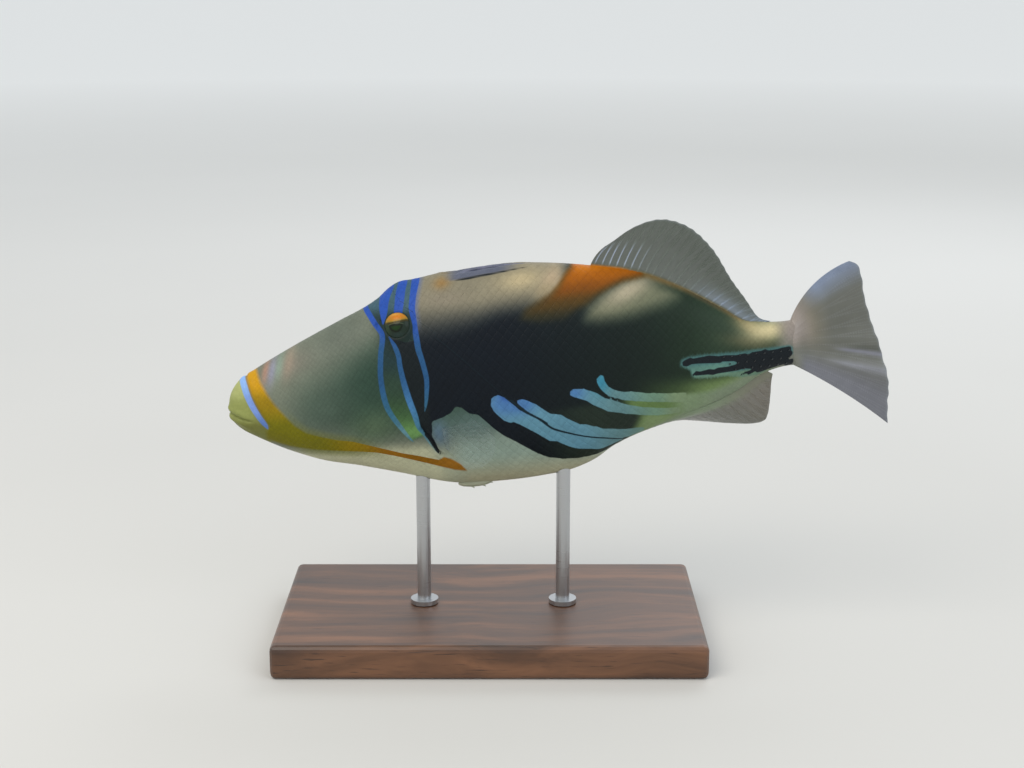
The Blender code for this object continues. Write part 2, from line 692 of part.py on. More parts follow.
def make_pectoral_fins(shop):
    """The pectoral fins: 13 rays each, that stand off the flank and sweep back along it."""
    def root(across):
        x = 75.0 + 0.6 * across
        z = -12.5 - 8.0 * across
        y = [flank(a, b)[0].y - GAP for a, b in zip(x, z)]
        return np.stack((x, np.array(y), z), axis=1)
    fin = Fin(
        root=root, up=(0, 0, 1), side=(0, -1, 0),
        lengths=((0, 14), (0.15, 18.5), (0.4, 20.5), (0.7, 17.5), (1, 10)),
        root_rise=((0, 22), (1, -40)),
        tip_rise=((0, 12), (1, -56)),
        root_lean=((0, 90), (1, 90)),
        tip_lean=((0, 22), (1, 26)),
        lean_within=1.5, flesh=((0, 0.3), (0.5, 0.5), (1, 0.3)))
    make_fin(shop, "pectoral_fin_left", fin, rays=13, rows=6)
    make_fin(shop, "pectoral_fin_right", fin, rays=13, rows=6, mirror=True)


def make_stand(shop):
    """A bevelled base and two turned rods, each notched by the keel that it holds."""
    bm = bmesh.new()
    bmesh.ops.create_cube(bm, size=1)
    bmesh.ops.scale(bm, vec=Vector(BASE_SIZE) * MM, verts=bm.verts)
    bmesh.ops.translate(bm, vec=(0, 0, BASE_SIZE[2] / 2 * MM), verts=bm.verts)
    mesh = bpy.data.meshes.new("stand_base")
    bm.to_mesh(mesh)
    bm.free()
    base = shop.node("stand_base", mesh, "stand_wood", on_fish=False)
    edges = base.modifiers.new("Edges", "BEVEL")
    edges.width = BASE_BEVEL * MM
    edges.segments = 3
    for name, x in ROD_PLACES.items():
        along = (x - SNOUT_X) / math.cos(NOSE_DOWN)
        keel = SNOUT_Z + along * math.sin(NOSE_DOWN) + float(keel_at(along)) * math.cos(NOSE_DOWN)
        foot = BASE_SIZE[2] + GAP
        top = keel + ROD_INTO_KEEL
        collar = foot + ROD_COLLAR_HEIGHT
        profile = ((0, top), (ROD_RADIUS, top), (ROD_RADIUS, collar), (ROD_COLLAR_RADIUS, collar), (ROD_COLLAR_RADIUS, foot),
                   (0, foot))
        mesh = bpy.data.meshes.new(name)
        mesh.from_pydata([Vector((r, 0, z)) * MM for r, z in profile], [(i, i + 1) for i in range(len(profile) - 1)], [])
        rod = shop.node(name, mesh, "stand_steel", on_fish=False)
        rod.location = (x * MM, 0, 0)
        turned = rod.modifiers.new("Turned", "SCREW")
        turned.steps = turned.render_steps = 20
        turned.use_merge_vertices = True
        turned.merge_threshold = 1e-6
        shop.apply(rod)
        close_outwards(rod.data)
        clear = shop.helper("keel_clearance", body_mesh("keel_clearance", grow=GAP, lips=False))
        shop.boolean(rod, "DIFFERENCE", [clear])


def main():
    """Builds every piece."""
    shop = Workshop()
    body = body_mesh("body")
    make_head(shop, body)
    make_eyes(shop)
    make_torso(shop, body)
    make_tail_stem(shop, body)
    make_dorsal_spines(shop)
    make_pelvic_spine(shop)
    make_dorsal_fin(shop)
    make_anal_fin(shop)
    make_tail_fin(shop)
    make_pectoral_fins(shop)
    make_stand(shop)
    bpy.data.meshes.remove(body)


main()
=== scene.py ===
# %% [markdown]
# # A picasso triggerfish, life size, on a display stand
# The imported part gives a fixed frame: the sizes and places that nothing here may change. This lesson
# dresses it: one skin over head, torso and tail stem, bony scales on that skin, wet eyes, fins thin
# enough to see through, and a walnut and steel stand. Every shape is a function of two parameters,
# worked out with numpy as whole arrays, so a reader can change one number and see what it does.

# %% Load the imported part
import math

import bpy
import numpy as np
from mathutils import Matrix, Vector


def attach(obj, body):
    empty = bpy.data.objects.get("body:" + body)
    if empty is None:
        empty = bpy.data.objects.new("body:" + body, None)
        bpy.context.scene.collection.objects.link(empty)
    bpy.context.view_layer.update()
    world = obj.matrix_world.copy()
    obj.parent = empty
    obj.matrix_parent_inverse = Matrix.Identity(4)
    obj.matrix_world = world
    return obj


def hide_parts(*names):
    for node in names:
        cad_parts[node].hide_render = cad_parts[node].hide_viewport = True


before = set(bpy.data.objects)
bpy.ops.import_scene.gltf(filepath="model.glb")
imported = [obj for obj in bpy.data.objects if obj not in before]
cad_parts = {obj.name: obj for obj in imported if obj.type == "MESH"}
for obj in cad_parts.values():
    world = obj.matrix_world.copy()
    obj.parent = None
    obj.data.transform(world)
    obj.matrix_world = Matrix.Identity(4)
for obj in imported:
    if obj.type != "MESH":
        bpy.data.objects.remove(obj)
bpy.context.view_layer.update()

# %% [markdown]
# ## Camera, floor and light
# The picture was taken from a little above, square to the fish's left side, with a long lens, so the
# camera stands 600 mm away and looks 14 degrees down through a 60 mm lens. A plain pale floor and three
# big soft lamps show the form without hard shadows, as a museum's light does.

# %% Camera
MM = 0.001
LOOK_AT = (7.7, 0.0, 93.7)
CAMERA_DISTANCE = 600.0
CAMERA_ELEVATION = math.radians(14)

lens = bpy.data.cameras.new("camera")
lens.lens = 60
lens.sensor_width = 36
lens.clip_start = 0.01
camera = bpy.data.objects.new("camera", lens)
camera.location = (
    LOOK_AT[0] * MM,
    -CAMERA_DISTANCE * math.cos(CAMERA_ELEVATION) * MM,
    (LOOK_AT[2] + CAMERA_DISTANCE * math.sin(CAMERA_ELEVATION)) * MM)
camera.rotation_euler = (math.pi / 2 - CAMERA_ELEVATION, 0, 0)
bpy.context.scene.collection.objects.link(camera)
bpy.context.scene.camera = camera
bpy.context.scene.view_settings.view_transform = "Standard"

# %% Helpers for colours, materials and meshes
def rgb(code):
    """An sRGB hex colour, such as 8fa9dc, as three numbers from 0 to 1."""
    return np.array([int(code[i:i + 2], 16) for i in (0, 2, 4)]) / 255


def linear(colour):
    """An sRGB colour, or an array of them, turned to linear light, with an alpha of 1 added."""
    srgb = rgb(colour) if isinstance(colour, str) else np.asarray(colour)
    light = np.where(srgb <= 0.04045, srgb / 12.92, ((srgb + 0.055) / 1.055) ** 2.4)
    return np.concatenate((light, np.ones(light.shape[:-1] + (1,))), axis=-1)


def add(tree, kind, inputs=(), **settings):
    """Adds a node: its settings by name, then each input as a plain value or as a socket to link from."""
    node = tree.nodes.new("ShaderNode" + kind)
    for name, value in settings.items():
        setattr(node, name, value)
    for name, value in dict(inputs).items():
        if isinstance(value, bpy.types.NodeSocket):
            tree.links.new(value, node.inputs[name])
        else:
            node.inputs[name].default_value = value
    return node


def new_material(name, **sockets):
    """A material whose shader has these plain values; an underscore in a name stands for a space."""
    made = bpy.data.materials.new(name)
    made.use_nodes = True
    shader = made.node_tree.nodes["Principled BSDF"]
    for socket, value in sockets.items():
        shader.inputs[socket.replace("_", " ")].default_value = value
    return made, made.node_tree, shader


def cells(size):
    """A noise's Scale for grains of this size in mm: how many of them lie in a metre."""
    return 1 / (size * MM)


def grid_faces(rows, columns, wrap=False):
    """Corner numbers of the quads of a grid of points; wrap joins its last column to its first."""
    number = np.arange(rows * columns).reshape(rows, columns)
    after = np.roll(number, -1, axis=1) if wrap else number[:, 1:]
    here = number if wrap else number[:, :-1]
    return np.stack((here[:-1], here[1:], after[1:], after[:-1]), axis=-1).reshape(-1, 4)


def closed_rings(rings, ends):
    """Points and faces of a surface made of rings, which closes at both ends on one point."""
    many, wide = rings.shape[:2]
    first = np.arange(wide)
    last = first + (many - 1) * wide
    caps = (
        np.stack((np.full(wide, many * wide), first, np.roll(first, -1)), axis=1),
        np.stack((np.full(wide, many * wide + 1), np.roll(last, -1), last), axis=1))
    return np.concatenate((rings.reshape(-1, 3), ends)), (grid_faces(many, wide, wrap=True), *caps)


def closed_sheet(front, rear):
    """Points and faces of a thin sheet from its two faces, each a grid from side to side and outwards."""
    ring = np.concatenate((front, rear[::-1]), axis=0).transpose(1, 0, 2)
    many, wide = ring.shape[:2]
    one_way = np.arange(wide // 2 - 1)
    rim = np.stack((one_way, one_way + 1, wide - 2 - one_way, wide - 1 - one_way), axis=1)
    return ring.reshape(-1, 3), (grid_faces(many, wide, wrap=True), rim, rim[:, ::-1] + (many - 1) * wide)


def new_piece(name, points, faces, finish, replaced=()):
    """A piece from points in metres and arrays of corner numbers. It rides on the part's one body.

    The volume is the sum of the triangles' corner products, a sixth of it; where it comes out below
    nothing the faces point inwards, so every face is turned round.
    """
    points = np.reshape(points, (-1, 3))
    fan = [np.stack((g[:, 0], g[:, k], g[:, k + 1]), axis=1) for g in faces for k in range(1, g.shape[1] - 1)]
    a, b, c = (points[np.concatenate(fan)[:, k]] for k in range(3))
    volume = float((a * np.cross(b, c)).sum()) / 6
    faces = faces if volume > 0 else [group[:, ::-1] for group in faces]
    mesh = bpy.data.meshes.new(name)
    corners = np.concatenate([np.ravel(group) for group in faces])
    sizes = np.concatenate([np.full(len(group), group.shape[1]) for group in faces])
    mesh.vertices.add(len(points))
    mesh.vertices.foreach_set("co", points.ravel())
    mesh.loops.add(len(corners))
    mesh.loops.foreach_set("vertex_index", corners.astype(np.int32))
    mesh.polygons.add(len(sizes))
    mesh.polygons.foreach_set("loop_start", (np.cumsum(sizes) - sizes).astype(np.int32))
    mesh.update(calc_edges=True)
    mesh.shade_smooth()
    mesh.materials.append(finish)
    piece = bpy.data.objects.new(name, mesh)
    bpy.context.scene.collection.objects.link(piece)
    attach(piece, "root")
    if replaced:
        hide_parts(*replaced)
    print(f"{name}: {sum(map(len, fan))} triangles, {abs(volume) * 1e6:.2f} cubic cm inside")
    return piece


def give_values(piece, **values):
    """Stores a number, or a colour as linear red, green, blue and alpha, on every point of a piece."""
    for name, numbers in values.items():
        numbers = np.asarray(numbers, np.float32)
        kind, field = ("FLOAT", "value") if numbers.ndim == 1 else ("FLOAT_COLOR", "color")
        store = piece.data.attributes.new(name, kind, "POINT")
        store.data.foreach_set(field, numbers.ravel())


# %% Floor and lamps
# Matt paper has no shine. A faint cloud keeps it from looking drawn, and it is painted paler into the
# distance: painted light, which makes up for the lamps' light falling off away from the fish.
floor_finish, tree, shader = new_material("matt_studio_paper", Roughness=1.0, Specular_IOR_Level=0.05)
where = add(tree, "TexCoord")
cloud = add(tree, "TexNoise", {"Vector": where.outputs["Object"], "Scale": 3.0, "Detail": 2.0})
tone = add(tree, "Mix", {0: cloud.outputs["Fac"], 6: linear("cbcac6"), 7: linear("d2d1cd")}, data_type="RGBA")
# painted light: the paper's colour pales with its distance from the fish
distance = add(tree, "VectorMath", {0: where.outputs["Object"]}, operation="LENGTH")
far_painted_light = add(tree, "MapRange", {"Value": distance.outputs["Value"], "From Min": 0.3, "From Max": 3.0})
tone_with_painted_far_light = add(
    tree, "Mix", {0: far_painted_light.outputs["Result"], 6: tone.outputs[2], 7: linear("f8f8f6")}, data_type="RGBA")
tree.links.new(tone_with_painted_far_light.outputs[2], shader.inputs["Base Color"])
floor_mesh = bpy.data.meshes.new("floor")
floor_mesh.from_pydata([(-20, -20, 0), (20, -20, 0), (20, 20, 0), (-20, 20, 0)], [], [(0, 1, 2, 3)])
floor_mesh.materials.append(floor_finish)
floor = bpy.data.objects.new("floor", floor_mesh)
bpy.context.scene.collection.objects.link(floor)

# name: (place in m, width in m, power in W, colour)
LAMPS = {
    "key": ((-0.45, -0.55, 0.95), 0.8, 5.5, "fff6ea"),
    "fill": ((0.85, -0.75, 0.8), 0.8, 2.2, "eef4ff"),
    "back": ((0.35, 0.8, 0.85), 0.7, 3.0, "f4f8ff"),
}
middle = np.array((0.01, 0.0, 0.09))
for name, (place, size, power, colour) in LAMPS.items():
    lamp = bpy.data.lights.new(name, "AREA")
    lamp.shape = "DISK"
    lamp.size = size
    lamp.energy = power
    lamp.color = linear(colour)[:3]
    holder = bpy.data.objects.new(name, lamp)
    holder.location = place
    bpy.context.scene.collection.objects.link(holder)
    holder.rotation_euler = Vector(middle - place).to_track_quat("-Z", "Y").to_euler()
world = bpy.data.worlds.new("soft_room")
bpy.context.scene.world = world
world.use_nodes = True
world.node_tree.nodes["Background"].inputs["Color"].default_value = linear("e9edf0")
world.node_tree.nodes["Background"].inputs["Strength"].default_value = 0.95

# %% [markdown]
# ## The body's form
# A triggerfish is deep and flat-sided, with a snout like a wedge. Its cross section is an oval with a
# back and a keel that are pointed more or less, so four smooth curves along the fish give it: the
# back's outline, the keel's, the half width, and the height where the body is widest. The same numbers
# made the part's solids. All sizes are millimetres in the fish's own frame: along it from the snout's
# tip, across it with the left side at minus, and up.

# %% The fish's outline
SNOUT_X = -92.0
SNOUT_Z = 87.5
NOSE_DOWN = math.radians(5.1)
CREST_LINE = (
    (0, 5), (12.5, 11.7), (42.3, 25.6), (51.8, 29.7), (56.3, 32.2), (60.1, 35.2), (64, 37.2), (68.5, 37.7),
    (84, 39.9), (95, 40.3), (120, 38.8), (134, 36.4), (147.5, 33.1), (161, 26.6), (174.5, 18), (182, 12.8),
    (189.5, 11.7), (198, 11.5), (203.4, 12.6))
KEEL_LINE = (
    (0, -8.4), (4.3, -11), (20, -19.9), (29.5, -23.8), (43.4, -27.5), (57.3, -31.3), (78.2, -37.1),
    (92.5, -37.7), (106.8, -37.1), (121.3, -34.6), (127.6, -32), (132.5, -28.9), (150.7, -21.7),
    (177, -12.7), (189.8, -6), (198, -4.6), (203.4, -5.2))
HALF_WIDTH = (
    (0, 4.6), (12, 7.6), (30, 11.4), (50, 14.3), (70, 16.4), (92, 17.2), (115, 16.2), (140, 12.8),
    (165, 8.4), (182, 5.6), (198, 4), (200, 3), (202, 1.5), (203.4, 0.1))
WIDEST_LINE = (
    (0, -3.6), (7, -6.4), (25, -4), (50, 0), (80, 3.5), (120, 5), (160, 4.5), (185, 3.4), (203.4, 3.6))
CREST_EDGE = ((0, 1.0), (30, 1.15), (60, 1.25), (95, 1.1), (130, 1.3), (175, 1.2), (203.4, 1.0))
KEEL_EDGE = ((0, 1.0), (25, 1.15), (60, 1.35), (95, 1.5), (125, 1.45), (160, 1.3), (203.4, 1.0))
NOSE_LENGTH = 6.0
NOSE_BLUNTNESS = 0.3
STEM_END = 198.0
SKIN_END = 203.4


def smooth(knots, at):
    """A cubic curve through (place, value) knots, with each slope set by the two spans beside it."""
    place, value = np.array(knots, float).T
    span = np.diff(place)
    rise = np.diff(value) / span
    inner = (rise[:-1] * span[1:] + rise[1:] * span[:-1]) / (span[:-1] + span[1:])
    slope = np.concatenate(([rise[0]], inner, [rise[-1]]))
    at = np.clip(np.asarray(at, float), place[0], place[-1])
    left = np.clip(np.searchsorted(place, at, side="right") - 1, 0, len(place) - 2)
    t = (at - place[left]) / span[left]
    ends = value[left] * (1 + 2 * t) * (1 - t) ** 2 + value[left + 1] * t * t * (3 - 2 * t)
    return ends + span[left] * (slope[left] * t * (1 - t) ** 2 - slope[left + 1] * t * t * (1 - t))


def step(at, start, end):
    """0 before start, 1 after end, and a smooth step between."""
    t = np.clip((np.asarray(at, float) - start) / (end - start), 0, 1)
    return t * t * (3 - 2 * t)


def straight(knots, at):
    """Straight lines from knot to knot, read at any place along. A width on the knots is left out."""
    return np.interp(at, [knot[0] for knot in knots], [knot[1] for knot in knots])


def line_at(knots, up):
    """How far along the fish a line that runs down its flank stands, at each height."""
    return np.interp(up, [knot[1] for knot in knots[::-1]], [knot[0] for knot in knots[::-1]])


def bump(at, middle, spread):
    """A bell of height 1 over a middle, which has fallen to about a third one spread away."""
    return np.exp(-(((np.asarray(at, float) - middle) / spread) ** 2))


def oval(along, angle):
    """The left half's point: half width times a power of the angle's sine, height from its cosine.

    The angle runs from 0 at the crest to pi at the keel. Near the tip both shrink with the nose's own
    round curve, 1 less the square of the distance still to go, raised to a small power for bluntness.
    """
    nose = (1 - (1 - np.clip(along / NOSE_LENGTH, 0, 1)) ** 2) ** NOSE_BLUNTNESS
    middle = smooth(WIDEST_LINE, along)
    upper = np.cos(angle) >= 0
    reach = np.where(upper, smooth(CREST_LINE, along) - middle, middle - smooth(KEEL_LINE, along))
    edge = np.where(upper, smooth(CREST_EDGE, along), smooth(KEEL_EDGE, along))
    half_width = smooth(HALF_WIDTH, along) * nose * np.maximum(np.sin(angle), 0) ** edge
    return half_width, middle + reach * nose * np.cos(angle)


def to_stand(points):
    """Points in the fish's frame, in mm, turned nose down and set over the stand, in metres."""
    x, y, z = np.moveaxis(np.asarray(points, float), -1, 0)
    turn, lift = math.cos(NOSE_DOWN), math.sin(NOSE_DOWN)
    return np.stack((SNOUT_X + x * turn - z * lift, y, SNOUT_Z + x * lift + z * turn), axis=-1) * MM


# %% The skin's grid: rows along the fish, columns round it at equal distances
QUARTER = 56
nose_share = np.linspace(0.12, 1, 24)
nose_rows = NOSE_LENGTH * (1 - np.sqrt(1 - nose_share ** (1 / NOSE_BLUNTNESS)))
rows = np.concatenate((
    nose_rows[nose_rows < 2.2], np.arange(2.3, 76, 0.42), np.linspace(76, STEM_END, 212),
    np.linspace(STEM_END + 0.5, SKIN_END, 11)))


def even_angles(along):
    """Angles that part the crest-to-widest and widest-to-keel arcs of each ring into equal lengths.

    Each ring's arc length is summed over fine steps of the angle, then read backwards.
    """
    fine = np.linspace(0, math.pi, 361)
    half_width, height = oval(along[:, None], fine[None, :])
    length = np.hypot(np.diff(half_width), np.diff(height)).cumsum(axis=1)
    length = np.concatenate((np.zeros((len(along), 1)), length), axis=1)
    upper, whole = length[:, 180], length[:, -1]
    share = np.arange(QUARTER + 1) / QUARTER
    lower = whole - upper
    wanted = np.concatenate((upper[:, None] * share, upper[:, None] + lower[:, None] * share[1:]), axis=1)
    angles = np.stack([np.interp(w, l, fine) for w, l in zip(wanted, length)])
    return angles, upper, lower


angle, arc_above, arc_below = even_angles(rows)
half_width, height = oval(rows[:, None], angle)
left = np.stack((np.broadcast_to(rows[:, None], height.shape), -half_width, height), axis=-1)
right = (left * (1, -1, 1))[:, -2:0:-1]
form = np.concatenate((left, right), axis=1)
COLUMNS = form.shape[1]
share = np.linspace(0, 1, QUARTER + 1)
arc = np.concatenate((arc_above[:, None] * share[::-1], -arc_below[:, None] * share[1:]), axis=1)
arc = np.concatenate((arc, arc[:, -2:0:-1]), axis=1)
girth = 2 * (arc_above + arc_below).max()
print(f"skin grid: {len(rows)} rows of {COLUMNS} points, girth up to {girth:.0f} mm")


def outward(points):
    """Unit normals of a closed grid: the slope along it crossed with the slope round it."""
    along = np.gradient(points, axis=0)
    round_it = np.roll(points, -1, axis=1) - np.roll(points, 1, axis=1)
    normal = np.cross(round_it, along)
    return normal / np.maximum(np.linalg.norm(normal, axis=-1, keepdims=True), 1e-12)


normal = outward(form)
centre_line = np.stack((rows, 0 * rows, smooth(WIDEST_LINE, rows)), axis=-1)[:, None]
assert ((form - centre_line) * normal).sum(axis=-1)[40:-12].min() > 0

# %% [markdown]
# ## Relief in the skin
# The form is smooth, and a real head isn't: thick lips with the mouth's line between them, a fold
# behind the lips, two nostrils, a soft rim round each eye, the short gill slit under a flap's edge, the
# groove that the first dorsal fin folds into. Each is a small push along the skin's normal, worked out
# from how far a point lies from a named place or line.

# %% Distances to lines and outlines on the flank
def fine_line(knots, parts=6):
    """A knotted line, with any widths it carries, drawn out smoothly into shorter steps."""
    knots = np.array(knots, float)
    number = np.arange(len(knots))
    at = np.linspace(0, number[-1], number[-1] * parts + 1)
    return np.stack([smooth(np.stack((number, column), axis=1), at) for column in knots.T], axis=1)


def nearest(place, line):
    """Distance from each place to a line of steps, and how many steps along it the nearest point lies."""
    start, leg = line[:-1, :2], np.diff(line[:, :2], axis=0)
    offset = place[:, None] - start
    share = np.clip((offset * leg).sum(-1) / np.maximum((leg ** 2).sum(-1), 1e-9), 0, 1)
    distance = np.linalg.norm(offset - share[..., None] * leg, axis=-1)
    best = distance.argmin(axis=1)
    pick = np.arange(len(place)), best
    return distance[pick], best + share[pick]


def stripe(place, knots):
    """How far inside a stripe each place is, in mm: the half width there less the distance to its middle."""
    line = fine_line(knots)
    distance, at = nearest(place, line)
    return np.interp(at, np.arange(len(line)), line[:, 2]) - distance


def patch(place, corners):
    """How far inside a closed outline each place is, in mm: the distance to it, minus where it's outside.

    A place is inside where a line from it towards the tail crosses the outline an odd number of times.
    """
    line = np.array((*corners, corners[0]), float)
    distance, _ = nearest(place, line)
    x, z = place[:, :1], place[:, 1:]
    (x0, z0), (x1, z1) = line[:-1].T, line[1:].T
    spans = (z0 > z) != (z1 > z)
    crossing = x0 + (z - z0) / np.where(z1 == z0, 1e-9, z1 - z0) * (x1 - x0)
    inside = (spans & (x < crossing)).sum(axis=1) % 2 == 1
    return np.where(inside, distance, -distance)


# %% The relief
EYE_PLACE = (62.6, 24.0)
EYE_SEEN_RADIUS = 4.3
SOCKET_DEPTH = 2.2
NOSTRILS = ((55.4, 24.4, 0.55), (56.9, 25.6, 0.42))
FAR = 9
MOUTH_FADE = (6.5, 10.0)
LIP_FADE = (4.0, 8.0)
NOSE_GROOVE = ((53.5, 23.2), (56.0, 22.6), (58.0, 22.4))
GILL_SLIT = ((67.4, -12.4), (68.9, -15.0), (70.6, -17.9), (71.7, -20.8), (73.3, -23.4))
LIP_FOLD = ((7.0, 9.6), (8.1, 5.4), (9.0, 2.2), (10.5, -1.6), (12.4, -5.4), (14.6, -8.9))
# (along, half width) of the groove that the first dorsal fin folds into
GROOVE_HALF = ((77, 0), (80, 2.2), (84, 3.6), (90, 3.4), (97, 2.6), (104, 1.4), (110, 0.5), (112, 0))


def eye_frame(side):
    """An eye's middle on the form and its axes: towards the tail, up and outwards."""
    row = np.searchsorted(rows, EYE_PLACE[0])
    column = np.abs(form[row, :2 * QUARTER, 2] - EYE_PLACE[1]).argmin()
    point, out = form[row, column], normal[row, column]
    back = np.array((1.0, 0, 0)) - out[0] * out
    back /= np.linalg.norm(back)
    up = np.cross(back, out)
    if up[2] < 0:
        up = -up
    turn = np.array((1, -side, 1))
    return point * turn, back * turn, up * turn, out * turn


def mouth_push(x, z, flat):
    """The line between the lips, the lips' swell beside it and the fold behind them."""
    off_mouth = np.abs(arc)
    fold = nearest(flat, fine_line(LIP_FOLD))[0].reshape(x.shape)
    push = 0.5 * (1 - step(x, *LIP_FADE)) * bump(off_mouth, 1.7, 1.1)
    push -= 0.6 * (1 - step(x, *MOUTH_FADE)) * bump(off_mouth, 0, 0.42)
    push -= 0.4 * bump(fold, 0, 0.45)
    return push + 0.22 * bump(fold, 1.5, 1.0) * (x < 12) * (1 - step(z, 8, 12))


def eye_push(points):
    """A socket under each eye, with a raised rim and a faint furrow outside it."""
    push = np.zeros(points.shape[:2])
    for side in (-1, 1):
        point, _, _, out = eye_frame(side)
        offset = points - point
        depth = (offset * out).sum(-1)
        ring = np.sqrt(np.maximum((offset ** 2).sum(-1) - depth ** 2, 0))
        near = (depth > -6) & (points[..., 1] * side > 0)
        push += near * 0.3 * bump(ring, EYE_SEEN_RADIUS + 0.8, 0.8)
        push -= near * SOCKET_DEPTH * (1 - step(ring, 2.8, EYE_SEEN_RADIUS + 0.15))
        push -= near * 0.12 * bump(ring, EYE_SEEN_RADIUS + 2.3, 0.7)
    return push


def nostril_push(x, z, flat):
    """Two pits with raised rims, and the shallow groove that runs under them to the eye."""
    groove = nearest(flat, fine_line(NOSE_GROOVE))[0].reshape(x.shape)
    push = -0.16 * bump(groove, 0, 0.8)
    for along, up, radius in NOSTRILS:
        ring = np.hypot(x - along, z - up)
        push += 0.16 * bump(ring, radius + 0.35, 0.28) - 0.8 * (1 - step(ring, radius * 0.4, radius + 0.2))
    return push


def gill_push(x, z, flat):
    """The gill slit: a flap that swells towards it, the slit itself, and the pectoral fin's mound behind."""
    slit = fine_line(GILL_SLIT)
    distance, at = nearest(flat, slit)
    nearby = np.clip(np.round(at).astype(int), 0, len(slit) - 1)
    leg, off = np.gradient(slit, axis=0)[nearby], flat - slit[nearby]
    before = (leg[:, 1] * off[:, 0] - leg[:, 0] * off[:, 1] > 0).reshape(x.shape)
    distance = distance.reshape(x.shape)
    ahead, after = np.where(before, distance, FAR), np.where(before, FAR, distance)
    push = 0.5 * np.exp(-ahead / 1.6) * (distance < 6) * step(z, -26, -23) * (1 - step(z, -10, -6))
    push -= 0.35 * np.exp(-after / 1.2) * (distance < 6) * (1 - step(z, -12, -9))
    push -= 1.1 * bump(distance, 0, 0.5)
    return push + 0.7 * bump(x, 75.0, 3.0) * bump(z, -15.0, 4.5)


def back_push(x, y, z):
    """The trigger's groove with soft lips, and a low ridge under the second dorsal fin."""
    middle = smooth(WIDEST_LINE, x)
    crest = np.clip((z - middle) / (smooth(CREST_LINE, x) - middle), 0, 1)
    half_groove = straight(GROOVE_HALF, x)
    over_groove = (np.abs(y) - half_groove) * step(crest, 0.8, 0.9)
    grooved = (crest > 0.8) * step(half_groove, 0.1, 1.2)
    push = grooved * (0.2 * bump(over_groove, 0.7, 0.7) - 1.7 * (1 - step(over_groove, -1.3, 0.2)))
    ridge = bump(y, 0, 1.3) * step(crest, 0.8, 0.95) * step(x, 129, 134) * (1 - step(x, 186, 192))
    return push + 0.35 * ridge


def relief(points):
    """Push outwards, in mm, at each point of the form: the above, and slow waves that break its evenness."""
    x, y, z = np.moveaxis(points, -1, 0)
    flat = np.stack((x.ravel(), z.ravel()), axis=1)
    push = mouth_push(x, z, flat) + eye_push(points) + nostril_push(x, z, flat)
    push += gill_push(x, z, flat) + back_push(x, y, z)
    waves = np.sin(x / 9.3 + 0.7 * np.sin(z / 7.1)) * np.sin(z / 8.7 + 0.9 * np.sin(x / 11.0))
    return push + 0.12 * waves * step(x, 8, 30)


push = relief(form)
surface = form + push[..., None] * normal
surface_normal = outward(surface)
print(f"relief moves the skin by {np.abs(push).max():.2f} mm at most")

# %% [markdown]
# ## The markings
# The pattern is what names this fish: blue lines before and behind the eye, three blue bands over the
# nape, a blue band behind the lips and a yellow one along the jaw, a black flank that meets the pale
# belly in steps, four pale blue bars low on the side, an orange saddle, and a black patch on the tail
# stem. Soft tints are laid like a painter's washes and kept as colours on the mesh's points. Sharp
# marks are kept as distances to their edges instead, because a distance changes evenly between
# points, and the shader can then cut a clean edge anywhere inside a face.

# %% Sharp marks, as (along, up, half width) knots or as outlines, in mm
NAPE_AND_EYE_LINES = (
    ((51.3, 30.2, 0.95), (52.1, 28.8, 0.95), (53.2, 27.4, 0.95), (54.3, 25.8, 0.95), (55.5, 24.1, 0.95),
     (56.9, 22.3, 0.95), (57.4, 20.7, 0.95), (57, 18, 0.92), (56.4, 15.3, 0.92), (55.7, 9.3, 0.93),
     (55.6, 6.5, 0.93), (55.8, 2.1, 0.96), (56.5, -2.6, 0.98), (57.7, -6, 0.95), (60.1, -10.5, 0.85),
     (62.5, -14.6, 0.55), (64.2, -17.2, 0.2)),
    ((61, 37.6, 1.6), (60.6, 35.9, 1.6), (59.6, 34.3, 1.7), (58.8, 32.3, 1.7), (58.4, 30.5, 1.65),
     (58.3, 29, 1.5), (58.2, 27.5, 1.15), (58, 25.9, 0.65), (57.9, 24.7, 0.2)),
    ((66, 39.5, 1.5), (65.6, 37.3, 1.5), (65, 35.6, 1.5), (64.5, 33.6, 1.6), (64.2, 32.1, 1.6),
     (63.9, 30.5, 1.55), (63.6, 29, 1.5), (63.4, 27.9, 1.45)),
    ((70.4, 40, 1.35), (70, 37.6, 1.35), (69.5, 35.4, 1.2), (68.9, 33, 1.1), (68.6, 31.2, 1.1),
     (68.3, 29.4, 1.1), (68.5, 27.5, 1), (68.8, 25.6, 0.85), (69, 23.6, 0.8), (69, 21.7, 0.95),
     (69.2, 19.1, 1), (69.5, 15.7, 1), (70.3, 12.4, 0.92), (71.3, 6.1, 0.86), (70.9, 1.2, 0.74),
     (70.2, -3, 0.5), (69.5, -5.8, 0.1)),
    ((59.7, 20.6, 0.2), (60.5, 19.2, 0.5), (61.4, 17.5, 0.75), (62, 15.8, 0.85), (62.5, 13.8, 0.85),
     (62.6, 11.2, 0.85), (63, 7.5, 0.93), (63.7, 3.1, 1.05), (64.6, -1.5, 1.1), (66, -7.2, 1),
     (66.7, -11.4, 0.75), (68.3, -14.6, 0.45), (70.4, -18.9, 0.35), (72.4, -22.6, 0.2)))
SNOUT_BAND = (
    (5.4, 10.4, 1.1), (5.9, 8, 1.12), (6.6, 5.8, 1.15), (7.6, 2.5, 1.12), (9.1, -1.2, 1.05),
    (11.1, -5, 0.95), (12.9, -7.8, 0.75), (13.6, -9.2, 0.3))
